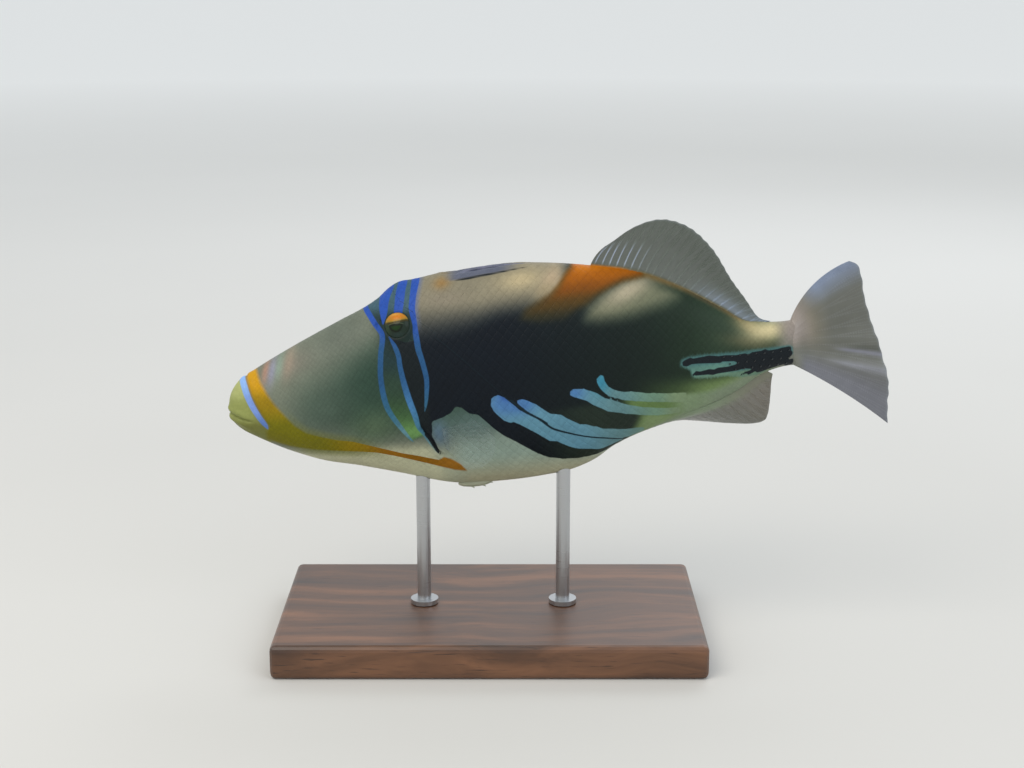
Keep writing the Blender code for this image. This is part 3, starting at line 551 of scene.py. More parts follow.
BARS = (
    ((92.6, -3.2), (93.8, -2.2), (95.1, -2.1), (96.8, -2.7), (100.6, -6.5), (101.8, -8), (105.4, -10.6),
     (107.4, -11.8), (112.2, -16.5), (114.2, -17.7), (118.6, -19.8), (123.7, -21.6), (130.7, -23.7),
     (136.9, -25.9), (130.6, -27.6), (128.1, -27.7), (125.2, -26.8), (121, -26), (118.3, -24.7),
     (113.9, -21.8), (111.5, -21.4), (106.6, -17.2), (101.4, -13.5), (99.7, -12.5), (98, -12.5),
     (96.3, -11.6), (93.8, -8.7), (92.9, -7.3), (92.4, -5.4)),
    ((101.4, -4.6), (102.5, -4.2), (103.9, -4.5), (107.5, -6.4), (112.3, -10.7), (116.1, -11.5),
     (117.7, -13), (122.3, -16.2), (124.4, -16.4), (126.5, -17.5), (128.5, -18.2), (130.2, -19.2),
     (138.4, -21.1), (141.2, -21.2), (144.8, -21.6), (144.9, -23.3), (139.1, -25), (136.1, -24.6),
     (124.8, -21.1), (119.4, -18.9), (114.3, -16.6), (112.6, -15.3), (109.1, -12.1), (105.5, -9.7),
     (102.3, -6.6), (101.4, -5.5)),
    ((119.7, -4.3), (119.8, -3.2), (120.9, -2.6), (124.7, -3), (128.7, -5), (131.6, -7.5), (133.7, -8.2),
     (138.1, -10.6), (144, -12.7), (151.7, -14.4), (157.8, -15.1), (157.8, -17.3), (155.3, -17.5),
     (149.9, -17.2), (143.5, -15.9), (140.7, -15), (138.6, -14.7), (136.5, -13.8), (132.4, -12.7),
     (130.7, -11.4), (127, -9), (125.4, -7.6), (120.7, -5.3), (119.7, -4.6)),
    ((130.5, 1.3), (131.7, 0.8), (131.7, -0.7), (133, -3.2), (134.6, -4.5), (136.3, -5.4), (138.4, -6),
     (141.2, -6.2), (146.3, -7.6), (149.5, -8), (152.6, -8.6), (160.1, -9.4), (160, -13.3), (147.2, -11.1),
     (141, -9.8), (138.2, -9.1), (133.6, -7.1), (132.1, -5.9), (130.8, -4.4), (129.9, -3), (129.3, -1.5),
     (129.2, 0)))
BELLY_EDGE = (
    (71.5, -9.8), (74.9, -8.6), (78.4, -7.1), (80.2, -4.9), (82.2, -5.3), (84.6, -7.7), (87.8, -8.7),
    (90.2, -11.4), (92.5, -14.3), (95.6, -17.2), (99.3, -19.9), (106.8, -26.1), (110.7, -28.3),
    (115.4, -29.6), (120.8, -30.2), (126.9, -30), (131.2, -29), (136, -26.6))
TAIL_PATCH = (
    (159, 1.7), (159.6, 2.5), (162.1, 3.4), (163.1, 2.9), (168.8, 3.3), (172.2, 2.6), (174.4, 2.7),
    (178.2, 2.2), (181.4, 2.5), (182.5, 1.9), (183.9, 2.6), (187.1, 2.8), (188.5, 3.3), (189.6, 2.7),
    (192.7, 2.9), (194.2, 3.2), (197, 3.3), (197.7, 2.9), (197.6, 1.8), (198.3, 0.8), (197.6, -0.5),
    (196.5, -0.7), (196.9, -1.6), (198.3, -1.5), (198.5, -2.6), (198.1, -3.8), (196.6, -4.1),
    (195.7, -4.7), (195.2, -3.5), (193.4, -3.7), (187, -5.3), (185.5, -5.4), (184.8, -4.8), (182.3, -5.9),
    (181.9, -5.2), (180.5, -5.4), (179.4, -5.8), (179.8, -4.9), (181.2, -4.4), (182.6, -4.2),
    (183.7, -3.7), (181.2, -3.1), (178.4, -3.5), (171.2, -3.7), (169.8, -4), (168.1, -3.6), (162.8, -3.4),
    (162.4, -3), (163.9, -1.7), (165.3, -2.1), (168.5, -1.6), (170.2, -2), (171.7, -1.5), (175.2, -1.6),
    (178.1, -1.1), (178.8, -0.6), (177.4, 0.1), (173.2, 0.5), (172.5, 0.1), (164.4, 0.9), (162.3, 0.9),
    (160.8, 0.3), (159.4, 0.7))
PATCH_RIM = (
    (158.3, 2.3), (159.5, 3.4), (161.1, 3.9), (167.1, 4), (179.8, 3.4), (191.1, 3.9), (197, 3.9),
    (198.4, 3), (198.4, 0), (190, -1), (188.5, -5.2), (185.5, -6.3), (180.1, -6.3), (174.4, -5),
    (168, -4.9), (163.4, -4.4), (162.2, -3.2), (161.8, -1.2), (159.6, -0.1), (158.3, 0.9))
JAW_BAND = (
    (9.6, 12.6), (11.4, 10.6), (12.7, 6.8), (14.8, 3), (17.1, -0.5), (23.5, -8.5), (27.2, -11.5),
    (32.8, -13.4), (37.3, -14.7), (43.1, -15.7), (59.8, -21.6), (65.5, -23.1), (72.2, -25.2),
    (74.1, -24.1), (76.9, -25.3), (79.6, -27.6), (81.7, -31), (77.5, -30.1), (68, -26.4), (62.4, -24.4),
    (56.7, -22.5), (51.1, -20.9), (45.3, -20.1), (28.3, -18.4), (20.1, -16.9), (12.4, -14), (12.9, -10.6),
    (13.9, -8.4), (10.5, -1.4), (9, 2.4), (8.1, 5.6), (6.8, 12))
# painted shadow: a dark line along the near lip of the trigger's groove, as (along, up, half width)
TRIGGER_SHADOW_LINE = (
    (83, 36.9, 0.05), (85, 37.1, 0.25), (88, 37.3, 0.34), (92, 37.7, 0.32), (98, 38.2, 0.26),
    (104, 38.7, 0.18), (109, 39, 0.05))
SLIT_SHADE = (
    (69.6, -14.6, 1.2), (70.3, -16.6, 0.75), (71.2, -19.2, 0.55), (72.2, -21.6, 0.5), (73.3, -23.4, 0.15))
# how far towards its scale's middle a mark's edge is read, as a share of the way
SCALE_PULL = 0.06
# The first two bars nearly touch: they are painted as one there, with this thin dark line between them.
BAR_GAP = (
    (99.5, -4.4, 0.3), (103, -8, 0.45), (105.5, -10.2, 0.4), (108.4, -12.3, 0.35), (111.6, -15.5, 0.4),
    (113.6, -17, 0.4), (119, -19.4, 0.32), (124.3, -21.4, 0.28), (130.6, -23.3, 0.28),
    (136.6, -25.2, 0.22), (143, -27, 0.2))
GAP_FILL = tuple((along, up, 0.75) for along, up, _ in BAR_GAP[4:10])


def beside(place, knots):
    """How far to one side of a stripe's middle each place is, in the stripe's half widths: minus above it.

    It passes zero at an even rate, so the shader can cut a line from it that is thinner than a face.
    """
    line = fine_line(knots)
    distance, at = nearest(place, line)
    start = np.clip(at.astype(int), 0, len(line) - 2)
    leg, off = (line[start + 1] - line[start])[:, :2], place - line[start, :2]
    side = np.sign(leg[:, 1] * off[:, 0] - leg[:, 0] * off[:, 1])
    return np.clip(side * distance / np.interp(at, np.arange(len(line)), line[:, 2]), -9, 9)


def trunk_outline():
    """The dark trunk: down the line before it, up the back of the gill slit, along the belly and round."""
    front = [knot[:2] for knot in NAPE_AND_EYE_LINES[4]]
    slit = [(73.2, -23.2), (72.6, -21.0), (71.9, -17.9), (70.9, -15.3), (71.3, -13.0)]
    round_it = [(145.0, -24.0), (165, -20), (260, -60), (260, 60), (70.0, 60)]
    back_line = [knot[:2] for knot in NAPE_AND_EYE_LINES[3] if knot[1] > 19]
    return [(65.5, 18.5)] + front + slit + list(BELLY_EDGE) + round_it + back_line


def sharp_marks(place, plate):
    """Distances inside each sharp mark, in mm. The trunk and bars are read part way to each scale's middle.

    That makes their edges step from scale to scale, as they do where colour lies in bony plates.
    """
    stepped = place + SCALE_PULL * (plate - place)
    blue = np.max([stripe(place, line) for line in NAPE_AND_EYE_LINES + (SNOUT_BAND,)], axis=0)
    bars = np.max([patch(stepped, bar) for bar in BARS] + [stripe(place, GAP_FILL)], axis=0)
    # the black mark also holds painted shade along the gill slit and painted shadow along the trigger's
    # groove
    lines = np.max([stripe(place, line) for line in (SLIT_SHADE, TRIGGER_SHADOW_LINE)], axis=0)
    black = patch(place, TAIL_PATCH)
    jaw_blur = 0.35 + 5.0 * (1 - step(place[:, 0], 10, 48)) + 2.2 * step(place[:, 0], 66, 78)
    return {
        "trunk": patch(stepped, trunk_outline()),
        "yellow": patch(place, JAW_BAND) / jaw_blur,
        "blue": np.maximum(blue, bars),
        "black": np.maximum(lines, black),
        "bar_gap": beside(place, BAR_GAP),
    }


# %% Soft tints, as washes laid over one another
def blob(place, middle, radii, lean=0.0):
    """A soft oval wash: a bell over the distance from its middle, measured in its two radii."""
    along, up = (place - middle).T
    turn = math.radians(lean)
    first = (along * math.cos(turn) + up * math.sin(turn)) / radii[0]
    second = (up * math.cos(turn) - along * math.sin(turn)) / radii[1]
    return np.exp(-(first ** 2 + second ** 2))


def soft(place, corners, blur):
    """A wash inside an outline, with an edge as wide as twice the blur."""
    return step(patch(place, corners), -blur, blur)


def washes(ground, layers):
    """The ground colour with each layer's colour laid over it by that layer's own share."""
    colour = np.broadcast_to(rgb(ground), (len(layers[0][1]), 3)).copy()
    for code, share in layers:
        colour += (rgb(code) - colour) * np.clip(share, 0, 1)[:, None]
    return linear(colour)


# soft areas and the lines that washes start from, all as (along, up) in mm
FACE = (
    (51, 31), (55.3, 25), (57.1, 18.6), (55.7, 9.3), (55.8, 2.1), (57.7, -6), (63.5, -16.4), (68.3, -14.6),
    (68.6, 27.7), (70.2, 45), (52, 45))
SADDLE = (
    (124.9, 50), (124.6, 37.3), (122.2, 35.3), (119.5, 32.2), (116.1, 29.5), (107.2, 25.6), (105, 23),
    (111.6, 20.6), (119.5, 21), (124.9, 24.4), (128.2, 26), (130.8, 27.9), (133.3, 29.2), (137.3, 30.9),
    (141, 32), (149, 32.6), (151, 50))
CLOUD = (
    (128, 21.1), (129, 24.2), (132.7, 27), (137.1, 29.1), (142.2, 30.7), (147.1, 31), (152.2, 29.4),
    (156.6, 26.9), (159.1, 24.4), (154.6, 22.8), (144.5, 20.9), (138.2, 20.2), (131.9, 20.2))
OVER_BARS = (
    (128, -2), (131, -1), (135.6, -4.9), (141.6, -6.7), (149.6, -8.1), (157, -9), (170, -9.4), (190, -6))
UNDER_BARS = ((128, -9), (136, -11.5), (144, -15), (152, -17), (165, -17))
SHOULDER = ((60, 23), (75, 24.5), (88, 25.4), (98, 27), (112, 27.5))
BACK_LINE = ((150, 32.8, 1.5), (160.8, 27.3, 1.1), (170.9, 21, 0.9), (181, 14, 0.9))
GILL_DARK = ((60.5, 20), (63.5, 8), (65.5, -6), (67.2, -12.5), (70.5, -16), (71, -8), (71, 6), (69, 18))


def pale_coat(place):
    """Snout, cheek, nape and belly: grey with a slate cheek, green round the eye, yellow lips."""
    along, up = place.T
    lips = 1 - step(along - line_at(SNOUT_BAND, up), -0.8, 0.8)
    face = soft(place, FACE, 0.9) * step(up, -21, -12)
    cheek = (1 - step(up - 0.42 * (along - 45), 4, 21)) * (1 - step(-up, 5, 19))
    jaw_glow = step(patch(place, JAW_BAND), -3.5, 0) * step(along, 18, 28) * (1 - step(along, 38, 58))
    return washes("727869", (
        ("7f786c", 0.8 * blob(place, (24, 12.5), (9, 4), 24)),
        ("5f675c", 0.8 * blob(place, (42, 21), (14, 7), 24)),
        ("48584c", cheek * step(along, 14, 34)),
        ("2b4236", cheek * step(along, 32, 54) * 0.95),
        ("55694f", 0.75 * blob(place, (51.5, -10.5), (9, 6.5), 20)),
        ("bbbc9d", step(-up, 16, 22) * (1 - step(along, 66, 90))),
        ("c6c8a8", step(-up, 20, 32) * step(along, 44, 70)),
        ("8fa194", step(-up, 8, 22) * step(along, 70, 84)),
        ("b0af92", step(-up, 24, 36) * step(along, 70, 84)),
        ("566b66", 0.95 * blob(place, (85, -11.5), (12, 7))),
        ("58728a", 0.75 * blob(place, (73.4, -14.5), (3.0, 5.5))),
        ("6f7240", 0.7 * jaw_glow),
        ("b88a74", 0.75 * blob(place, (14.8, 10.5), (1.3, 4.5), -15)),
        ("9494ae", 0.75 * blob(place, (17.2, 10.5), (1.5, 5.0), -15)),
        ("8aa896", 0.55 * blob(place, (20.0, 12), (1.6, 5.0), -15)),
        ("a5907c", 0.5 * blob(place, (23.5, 13.5), (1.9, 5.5), -15)),
        ("1f3538", face),
        ("2b4033", face * (1 - step(up, 4, 14))),
        ("3c5a38", face * (1 - step(up, -8, 4)) * 0.95),
        ("6f9a58", face * (1 - step(up, -16, -5))),
        ("3c5a66", face * step(up, 26.5, 30)),
        ("17251f", 0.95 * blob(place, (63.2, 20.5), (6.0, 6.0))),
        ("8f9656", lips),
        ("a8ae70", lips * step(up, -1, 4)),
        ("6e7038", lips * (1 - step(up, -8.5, -4.2)) * 0.9),
        ("96995c", lips * blob(place, (4.2, -8.2), (4.0, 0.6), -38) * 0.5),
    ))


def trunk_coat(place):
    """The flank: blue black, sand over the shoulder, an orange saddle, a pale cloud, green to the rear."""
    along, up = place.T
    over_bar = up - smooth(OVER_BARS, along)
    under_bar = up - smooth(UNDER_BARS, along)
    slanted = along - 0.45 * (up + 18)
    over_keel = up - smooth(KEEL_LINE, along)
    rise = up - smooth(SHOULDER, along)
    sand = step(rise / (8.2 - 3.2 * step(along, 78, 100)), -1, 1) * (1 - step(along, 118, 127))
    saddle = soft(place, SADDLE, 1.9)
    cloud = soft(place, CLOUD, 4.2)
    over_line = up - straight(TRIGGER_SHADOW_LINE, along)
    back_line = step(stripe(place, BACK_LINE), -0.9, 0.9)
    rim = step(patch(place, PATCH_RIM), -0.3, 0.7)
    return washes("08111a", (
        ("0d1819", step(along, 92, 130)),
        ("121e1a", step(along, 122, 146)),
        ("1d2d20", step(along, 140, 166)),
        ("3d4f30", (1 - step(over_bar, 0, 8)) * step(along, 138, 160)),
        ("6a8050", (1 - step(over_bar, 0.5, 6.5)) * step(along, 156, 168)),
        ("2a3b2c", step(along, 160, 174) * step(over_bar, 4, 9)),
        ("627c48", step(-over_bar, 0.5, 1.5) * step(along, 135, 142)),
        ("212d25", step(-under_bar, -1.5, 2.0) * step(along, 104, 126) * (1 - step(slanted, 140.5, 146.0))),
        ("7a8f62", step(-under_bar, -0.5, 1.5) * step(slanted, 141.5, 147.0)),
        ("7b8f6e", step(-over_bar, -0.6, 1.8) * step(along, 152, 161)),
        ("7a8870", (1 - step(over_keel, 3, 8)) * step(along, 162, 172)),
        ("807a66", sand),
        ("837b6a", 0.8 * blob(place, (80, 31.5), (7, 2.5)) * sand),
        # partly the sand's own tone and partly painted highlight: paler sand over the top of the back, where
        # light falls from above
        ("b3a480", 0.95 * blob(place, (106.5, 35.6), (8, 3.2), 3)),
        ("b09c80", 0.9 * blob(place, (117, 35.0), (4, 2.8), 35)),
        ("9a8b6c", 0.7 * blob(place, (114, 31.5), (4, 2.2), 30)),
        ("696d57", np.minimum(1.1 * cloud, 1)),
        ("aca28a", 0.9 * blob(place, (142.5, 28.3), (9.5, 3.2), 20)),
        ("2f2c1a", saddle * step(up, 19, 24)),
        ("4c3813", saddle * step(up, 23, 27)),
        ("7a4406", saddle * step(up, 26.5, 31.5)),
        ("9c5600", saddle * step(up, 30.5, 35)),
        ("b86a04", saddle * step(up, 34.5, 37) * step(along, 121, 128)),
        ("6c5c3a", back_line),
        ("3c3b2a", back_line * blob(place, (170, 21), (9, 5))),
        ("96713c", 0.75 * blob(place, (79.0, 36.4), (2.8, 1.7), 8)),
        ("5a688e", 0.75 * step(stripe(place, NAPE_AND_EYE_LINES[3]), -2.0, 0.2) * step(up, 20, 27)),
        ("565c70", 0.9 * step(over_line, -0.2, 0.4) * step(along, 79, 85) * (1 - step(along, 98, 108))),
        ("4a4d38", 0.9 * blob(place, (183, 6.2), (9, 2.6), -14)),
        ("a99a70", 0.8 * blob(place, (184, 11.2), (6, 2.4), -26)),
        ("cbbf94", blob(place, (190.5, 9.4), (8.0, 3.4), 2)),
        ("8e857d", step(along, 191, 198)),
        ("74766c", step(along, 189, 198) * (1 - step(up, 1, 8))),
        ("466d6d", rim),
        ("3a5552", 0.7 * rim * blob(place, (185, 4.5), (6, 2))),
        ("5b8378", rim * step(-up, -1.0, 1.0) * (1 - step(along, 172, 180))),
        ("64826c", rim * step(-up, 3.2, 4.4)),
        ("10191c", soft(place, GILL_DARK, 1.2)),
    ))


# (middle, radii) of the bars' bright front ends
BAR_FRONTS = (((96.5, -5), (6, 5)), ((103.5, -6), (5, 3.5)), ((121.5, -4), (4, 3)))


def blue_coat(place):
    """The blue of every line and bar: deep on the nape, paler down the face, sky and sea green behind."""
    along, up = place.T
    head = 1 - step(along, 76, 84)
    snout = 1 - step(along, 28, 36)
    fronts = sum(blob(place, *front) for front in BAR_FRONTS)
    return washes("5f8ea2", (
        ("4a76a8", fronts),
        ("33589c", 0.8 * blob(place, (97.2, -3.2), (2.4, 1.2), -30)),
        ("60868a", step(along, 120, 138)),
        ("3a86a0", blob(place, (130.6, -1.2), (3.0, 4.2))),
        ("70907a", step(along, 136, 150)),
        ("7b8f6e", step(along, 149, 157)),
        ("34667f", head),
        ("25507a", head * step(up, -8, 6)),
        ("234ca2", head * step(up, 15, 26)),
        ("4a80b8", head * 0.7 * blob(place, (64.5, -4), (2.6, 8))),
        ("7f9f98", head * 0.9 * blob(place, (71, -21), (4, 6))),
        ("6f9498", head * 0.7 * blob(place, (62, -13.5), (4, 5))),
        ("7b98d8", snout),
        ("8ab0e6", snout * step(up, 0, 6)),
        ("5a78b4", snout * (1 - step(up, -8, -2))),
    ))


def yellow_coat(place):
    """The jaw's band: bright orange yellow over the snout, olive along the jaw, orange brown to its end."""
    along, up = place.T
    return washes("6f6b08", (
        ("94790e", step(up, -9, 0)),
        ("c79412", step(up, 0, 6.5)),
        ("8a7410", step(along, 30, 46)),
        ("8d6014", step(along, 44, 56)),
        ("9c6a20", blob(place, (76.5, -27.2), (5, 3))),
    ))


def coat_values(place, plate):
    """Every colour and distance that the skin and the scales carry, for places on the flank."""
    values = {"pale_coat": pale_coat(place), "trunk_coat": trunk_coat(place)}
    values.update(blue_coat=blue_coat(place), yellow_coat=yellow_coat(place))
    values.update(sharp_marks(place, plate))
    return values


# %% [markdown]
# ## The skin
# The real skin is one surface from lips to tail, thick as leather. Its mesh is the grid above with a
# closed pole at the mouth and another inside the tail fin's root. The finish is moist skin: a varnish
# thin coat over a surface that is only half smooth, with grain as fine as the smallest spines on the
# scales, about 0.4 mm.

# %% Skin finish
MARK_EDGE = 0.14
# the black mark is the tail's black patch, with painted shade along the gill slit and painted shadow by the
# trigger's groove
SHARP_MARKS = (("trunk", "trunk_coat"), ("yellow", "yellow_coat"), ("blue", "blue_coat"), ("black", None))


def coat_finish(name, painted_gap_shade):
    """Moist fish skin in the coat's colours; the last number is painted shade, which darkens the skin between
    the scales.
    """
    made, tree, shader = new_material(
        name, Roughness=0.5, Specular_IOR_Level=0.14, Coat_Weight=0.05, Coat_Roughness=0.25)
    colour = add(tree, "Attribute", attribute_name="pale_coat").outputs["Color"]
    for mark, coat in SHARP_MARKS:
        far = add(tree, "Attribute", attribute_name=mark).outputs["Fac"]
        share = add(tree, "MapRange", {"Value": far, "From Min": -MARK_EDGE, "From Max": MARK_EDGE})
        paint = linear("141b20")
        if coat:
            paint = add(tree, "Attribute", attribute_name=coat).outputs["Color"]
        mix = add(tree, "Mix", {0: share.outputs["Result"], 6: colour, 7: paint}, data_type="RGBA")
        colour = mix.outputs[2]
    # The gap is 1 at its edge, so the paint is full a little inside it and gone a little outside.
    beside_gap = add(tree, "Attribute", attribute_name="bar_gap").outputs["Fac"]
    off_gap = add(tree, "Math", {0: beside_gap}, operation="ABSOLUTE")
    in_gap = add(tree, "MapRange", {"Value": off_gap.outputs[0], "From Min": 1.4, "From Max": 0.6})
    mix = add(tree, "Mix", {0: in_gap.outputs["Result"], 6: colour, 7: linear("11242b")}, data_type="RGBA")
    colour = mix.outputs[2]
    where = add(tree, "TexCoord").outputs["Object"]
    speckle = add(tree, "TexNoise", {"Vector": where, "Scale": cells(1.1), "Detail": 3.0, "Roughness": 0.6})
    mottle = add(tree, "TexNoise", {"Vector": where, "Scale": cells(7), "Detail": 2.0})
    level = add(tree, "Math", {0: speckle.outputs["Fac"], 1: mottle.outputs["Fac"]}, operation="ADD")
    value = add(tree, "MapRange", {
        "Value": level.outputs[0], "From Min": 0.6, "From Max": 1.4,
        "To Min": 0.86 * painted_gap_shade, "To Max": 1.12 * painted_gap_shade})
    tint = add(tree, "HueSaturation", {"Color": colour, "Value": value.outputs["Result"]})
    tree.links.new(tint.outputs["Color"], shader.inputs["Base Color"])
    grain = add(tree, "TexNoise", {"Vector": where, "Scale": cells(0.38), "Detail": 2.0})
    gloss = add(tree, "MapRange", {"Value": mottle.outputs["Fac"], "To Min": 0.42, "To Max": 0.6})
    tree.links.new(gloss.outputs["Result"], shader.inputs["Roughness"])
    dents = add(tree, "Bump", {"Height": grain.outputs["Fac"], "Strength": 0.25, "Distance": 0.1 * MM})
    tree.links.new(dents.outputs["Normal"], shader.inputs["Normal"])
    return made


# painted shade: the skin that shows between the scales is made a little darker than the scales
skin_finish = coat_finish("moist_fish_skin", 0.94)
scale_finish = coat_finish("moist_bony_scales", 1.0)

# %% Skin mesh
tip = np.array([(0.85, 0.0, float(smooth(WIDEST_LINE, 0)))])
tail_end = surface[-1].mean(axis=0, keepdims=True)
skin_points, skin_faces = closed_rings(surface, np.concatenate((tip, tail_end)))
skin = new_piece(
    "skin", to_stand(skin_points), skin_faces, skin_finish, ("head", "torso", "tail_stem"))
skin_place = skin_points[:, (0, 2)]
give_values(skin, **coat_values(skin_place, skin_place))

# %% [markdown]
# ## The scales
# A triggerfish wears small bony plates set edge to edge, each a diamond, with fine grooves between.
# They could be drawn with bump alone, but then the outline would stay as smooth as an egg. So every
# plate is real mesh: one domed template of a few dozen faces, copied to each crossing of a diamond
# lattice that follows the body's curve. The lattice counts scales along the fish and round it, and the
# plates are about 3 mm on the flank and half of that on the snout and the tail stem.

# %% The lattice of scales
SCALE_LENGTH = (
    (9, 1.5), (25, 1.9), (50, 2.3), (70, 2.9), (85, 3.3), (130, 3.3), (165, 2.6), (190, 1.9), (204, 1.4))
SCALE_TALL = 1.15
SCALE_FILL = 0.97
fine_along = np.linspace(9, 202, 4000)
scale_count = np.cumsum(np.gradient(fine_along) / smooth(SCALE_LENGTH, fine_along))


def lattice_place(count, level):
    """From scale counts to mm: the place along comes from counting scales, the arc from their height."""
    along = np.interp(count, scale_count, fine_along)
    return along, level * SCALE_TALL * smooth(SCALE_LENGTH, along)


def grid_place(along, arc_up):
    """The skin grid's row and column, with fractions, of an arc distance above the widest line."""
    above = np.interp(along, rows, arc_above)
    below = np.interp(along, rows, arc_below)
    share = np.where(arc_up > 0, 1 - arc_up / above, 1 - arc_up / below)
    return np.interp(along, rows, np.arange(len(rows))), np.clip(share, 0, 2) * QUARTER


def on_grid(grid, row, column):
    """Values between a grid's points: each is mixed from the four points round it by their nearness."""
    low_row = np.clip(np.floor(row).astype(int), 0, len(rows) - 2)
    low_column = np.floor(column).astype(int)
    down, across = (row - low_row)[..., None], (column - low_column)[..., None]
    near, far = low_column % COLUMNS, (low_column + 1) % COLUMNS
    upper = grid[low_row, near] * (1 - across) + grid[low_row, far] * across
    lower = grid[low_row + 1, near] * (1 - across) + grid[low_row + 1, far] * across
    return upper * (1 - down) + lower * down


half_steps = np.arange(2, int(2 * scale_count[-1]))
levels = np.arange(-70, 71)
count, level = (grid.ravel() / 2 for grid in np.meshgrid(half_steps, levels, indexing="ij"))
level_step, count_step = (level * 2).astype(int), (count * 2).astype(int)
along, arc_up = lattice_place(count, level)
tall = SCALE_TALL * smooth(SCALE_LENGTH, along)
fits = arc_up < np.interp(along, rows, arc_above) - 0.3 * tall
fits &= -arc_up < np.interp(along, rows, arc_below) - 0.3 * tall
fits &= (level_step + count_step) % 2 == 0
row, column = grid_place(along, arc_up)
middle_point = on_grid(surface, row, column)
flank = middle_point[:, (0, 2)]
eye_point = eye_frame(-1)[0]
fits &= np.linalg.norm(middle_point - eye_point, axis=-1) > EYE_SEEN_RADIUS + 1.7
fits &= flank[:, 0] > line_at(LIP_FOLD, flank[:, 1]) + 1.4
fits &= nearest(flank, fine_line(GILL_SLIT))[0] > 1.1
for nostril_along, nostril_up, radius in NOSTRILS:
    fits &= np.hypot(flank[:, 0] - nostril_along, flank[:, 1] - nostril_up) > radius + 0.9
fits &= nearest(flank, fine_line(TRIGGER_SHADOW_LINE))[0] > 1.3
fits &= flank[:, 0] < 199
fits &= np.abs(middle_point[:, 1]) > straight(GROOVE_HALF, flank[:, 0]) + 0.3
count, level = count[fits], level[fits]
print(f"{2 * len(count)} scales")

# %% One domed plate, laid on every place of the lattice
PLATE_STEPS = np.array((-1, -0.94, -0.78, 0, 0.78, 0.94, 1))
PLATE_WIDE = len(PLATE_STEPS)
PLATE_RISE = 0.05
PLATE_ROOT = -0.06
PLATE_JITTER = 0.006
PLATE_TILT = 0.012
UNWRAP_LENGTH = 210
PLATE_POINTS = PLATE_WIDE ** 2
PLATE_MIDDLE = PLATE_POINTS // 2
first_way, second_way = (w.ravel() for w in np.meshgrid(PLATE_STEPS, PLATE_STEPS, indexing="ij"))
crown = 0.88 + 0.12 * (1 - first_way ** 2) * (1 - second_way ** 2)
dome = (1 - first_way ** 24) * (1 - second_way ** 24) * crown
plate_number = np.arange(PLATE_POINTS).reshape(PLATE_WIDE, PLATE_WIDE)
edge_ring = np.concatenate((
    plate_number[0], plate_number[1:, -1], plate_number[-1, -2::-1], plate_number[-2:0:-1, 0]))
plate_faces = grid_faces(PLATE_WIDE, PLATE_WIDE)
under_faces = np.stack((edge_ring, np.roll(edge_ring, -1), np.full(len(edge_ring), PLATE_POINTS)), axis=1)


def scale_coat(name, count, level, side):
    """Plates at lattice places: each is the template's diamond, lifted off the skin by its dome."""
    u = count[:, None] + np.append(first_way + second_way, 0) / 4 * SCALE_FILL
    v = level[:, None] + np.append(first_way - second_way, 0) / 4 * SCALE_FILL
    along, arc_up = lattice_place(u, v)
    row, column = grid_place(along, arc_up)
    if side > 0:
        column = COLUMNS - column
    size = smooth(SCALE_LENGTH, along) / 3.3
    chance = np.random.default_rng(11 + side)
    lift = PLATE_ROOT + (PLATE_RISE - PLATE_ROOT) * np.append(dome, 0) * (0.45 + 0.55 * size)
    lift = lift + chance.normal(0, PLATE_JITTER, (len(count), 1))
    lift = lift + PLATE_TILT * np.append(first_way + second_way, 0)
    out = on_grid(surface_normal, row, column)
    out /= np.linalg.norm(out, axis=-1, keepdims=True)
    points = on_grid(surface, row, column) + lift[..., None] * out
    start = (PLATE_POINTS + 1) * np.arange(len(count))[:, None, None]
    top, under = (start + plate_faces).reshape(-1, 4), (start + under_faces).reshape(-1, 3)
    if side > 0:
        top, under = top[:, ::-1], under[:, ::-1]
    piece = new_piece(name, to_stand(points.reshape(-1, 3)), (top, under), scale_finish)
    place = points[..., (0, 2)]
    plate = np.broadcast_to(place[:, PLATE_MIDDLE, None], place.shape)
    give_values(piece, **coat_values(place.reshape(-1, 2), plate.reshape(-1, 2)))
    give_patches(piece, along[:, PLATE_MIDDLE] / UNWRAP_LENGTH, column[:, PLATE_MIDDLE] / COLUMNS)
    return piece


def give_patches(piece, across, up):
    """The OFBake map: each plate's top is a small square at its root's place on the skin's own unwrap.

    The unwrap is the grid itself, the row's place along and the column's share round. The hidden
    underside takes a smaller square just beyond the top's, so that no two faces share a place.
    """
    size, step_beyond = 0.0015, 0.0034
    root = np.stack((across, up), axis=-1)[:, None, None]
    square = np.append(np.stack((first_way, second_way), axis=-1), [[0, 0]], axis=0)
    top = root + square[plate_faces] * size
    under = root + square[under_faces] * size * 0.8 + (step_beyond, 0)
    corners = np.concatenate((top.reshape(-1, 2), under.reshape(-1, 2)))
    piece.data.uv_layers.new(name="OFBake").data.foreach_set("uv", corners.ravel().astype(np.float32))


half = len(count) // 2
for side, side_name in ((-1, "left"), (1, "right")):
    scale_coat(f"scales_front_{side_name}", count[:half], level[:half], side)
    scale_coat(f"scales_rear_{side_name}", count[half:], level[half:], side)

# %% [markdown]
# ## The eyes
# Each eye is a wet ball that sits high on the head and turns in its own socket. Its colour is in the
# iris: a copper crescent over the top, dark green below, and a pupil with a flat upper side. A glass eye
# maker paints it the same way, as flat shapes on the front of a ball, under a clear gloss.

# %% Eyes
EYE_RADIUS = 5.0
EYE_HALF_DEPTH = 3.4
EYE_SUNK = 1.7
IRIS_CRESCENT = (
    (-4.7, 0.6), (-4.4, 3.4), (-2.2, 4.9), (0, 5.4), (2.4, 5), (4.7, 3.2), (4.7, 1), (3.4, 0.95),
    (2.2, 0.75), (1, 0.5), (-0.4, 0.4), (-2, 0.4), (-3.4, 0.5))
PUPIL = (
    (-2.5, -0.15), (-2.35, -1.1), (-1.7, -2.1), (-0.6, -2.7), (0.5, -2.75), (1.6, -2.2), (2.3, -1.2),
    (2.5, -0.2), (1.4, 0.1), (0, 0.15), (-1.4, 0.1))


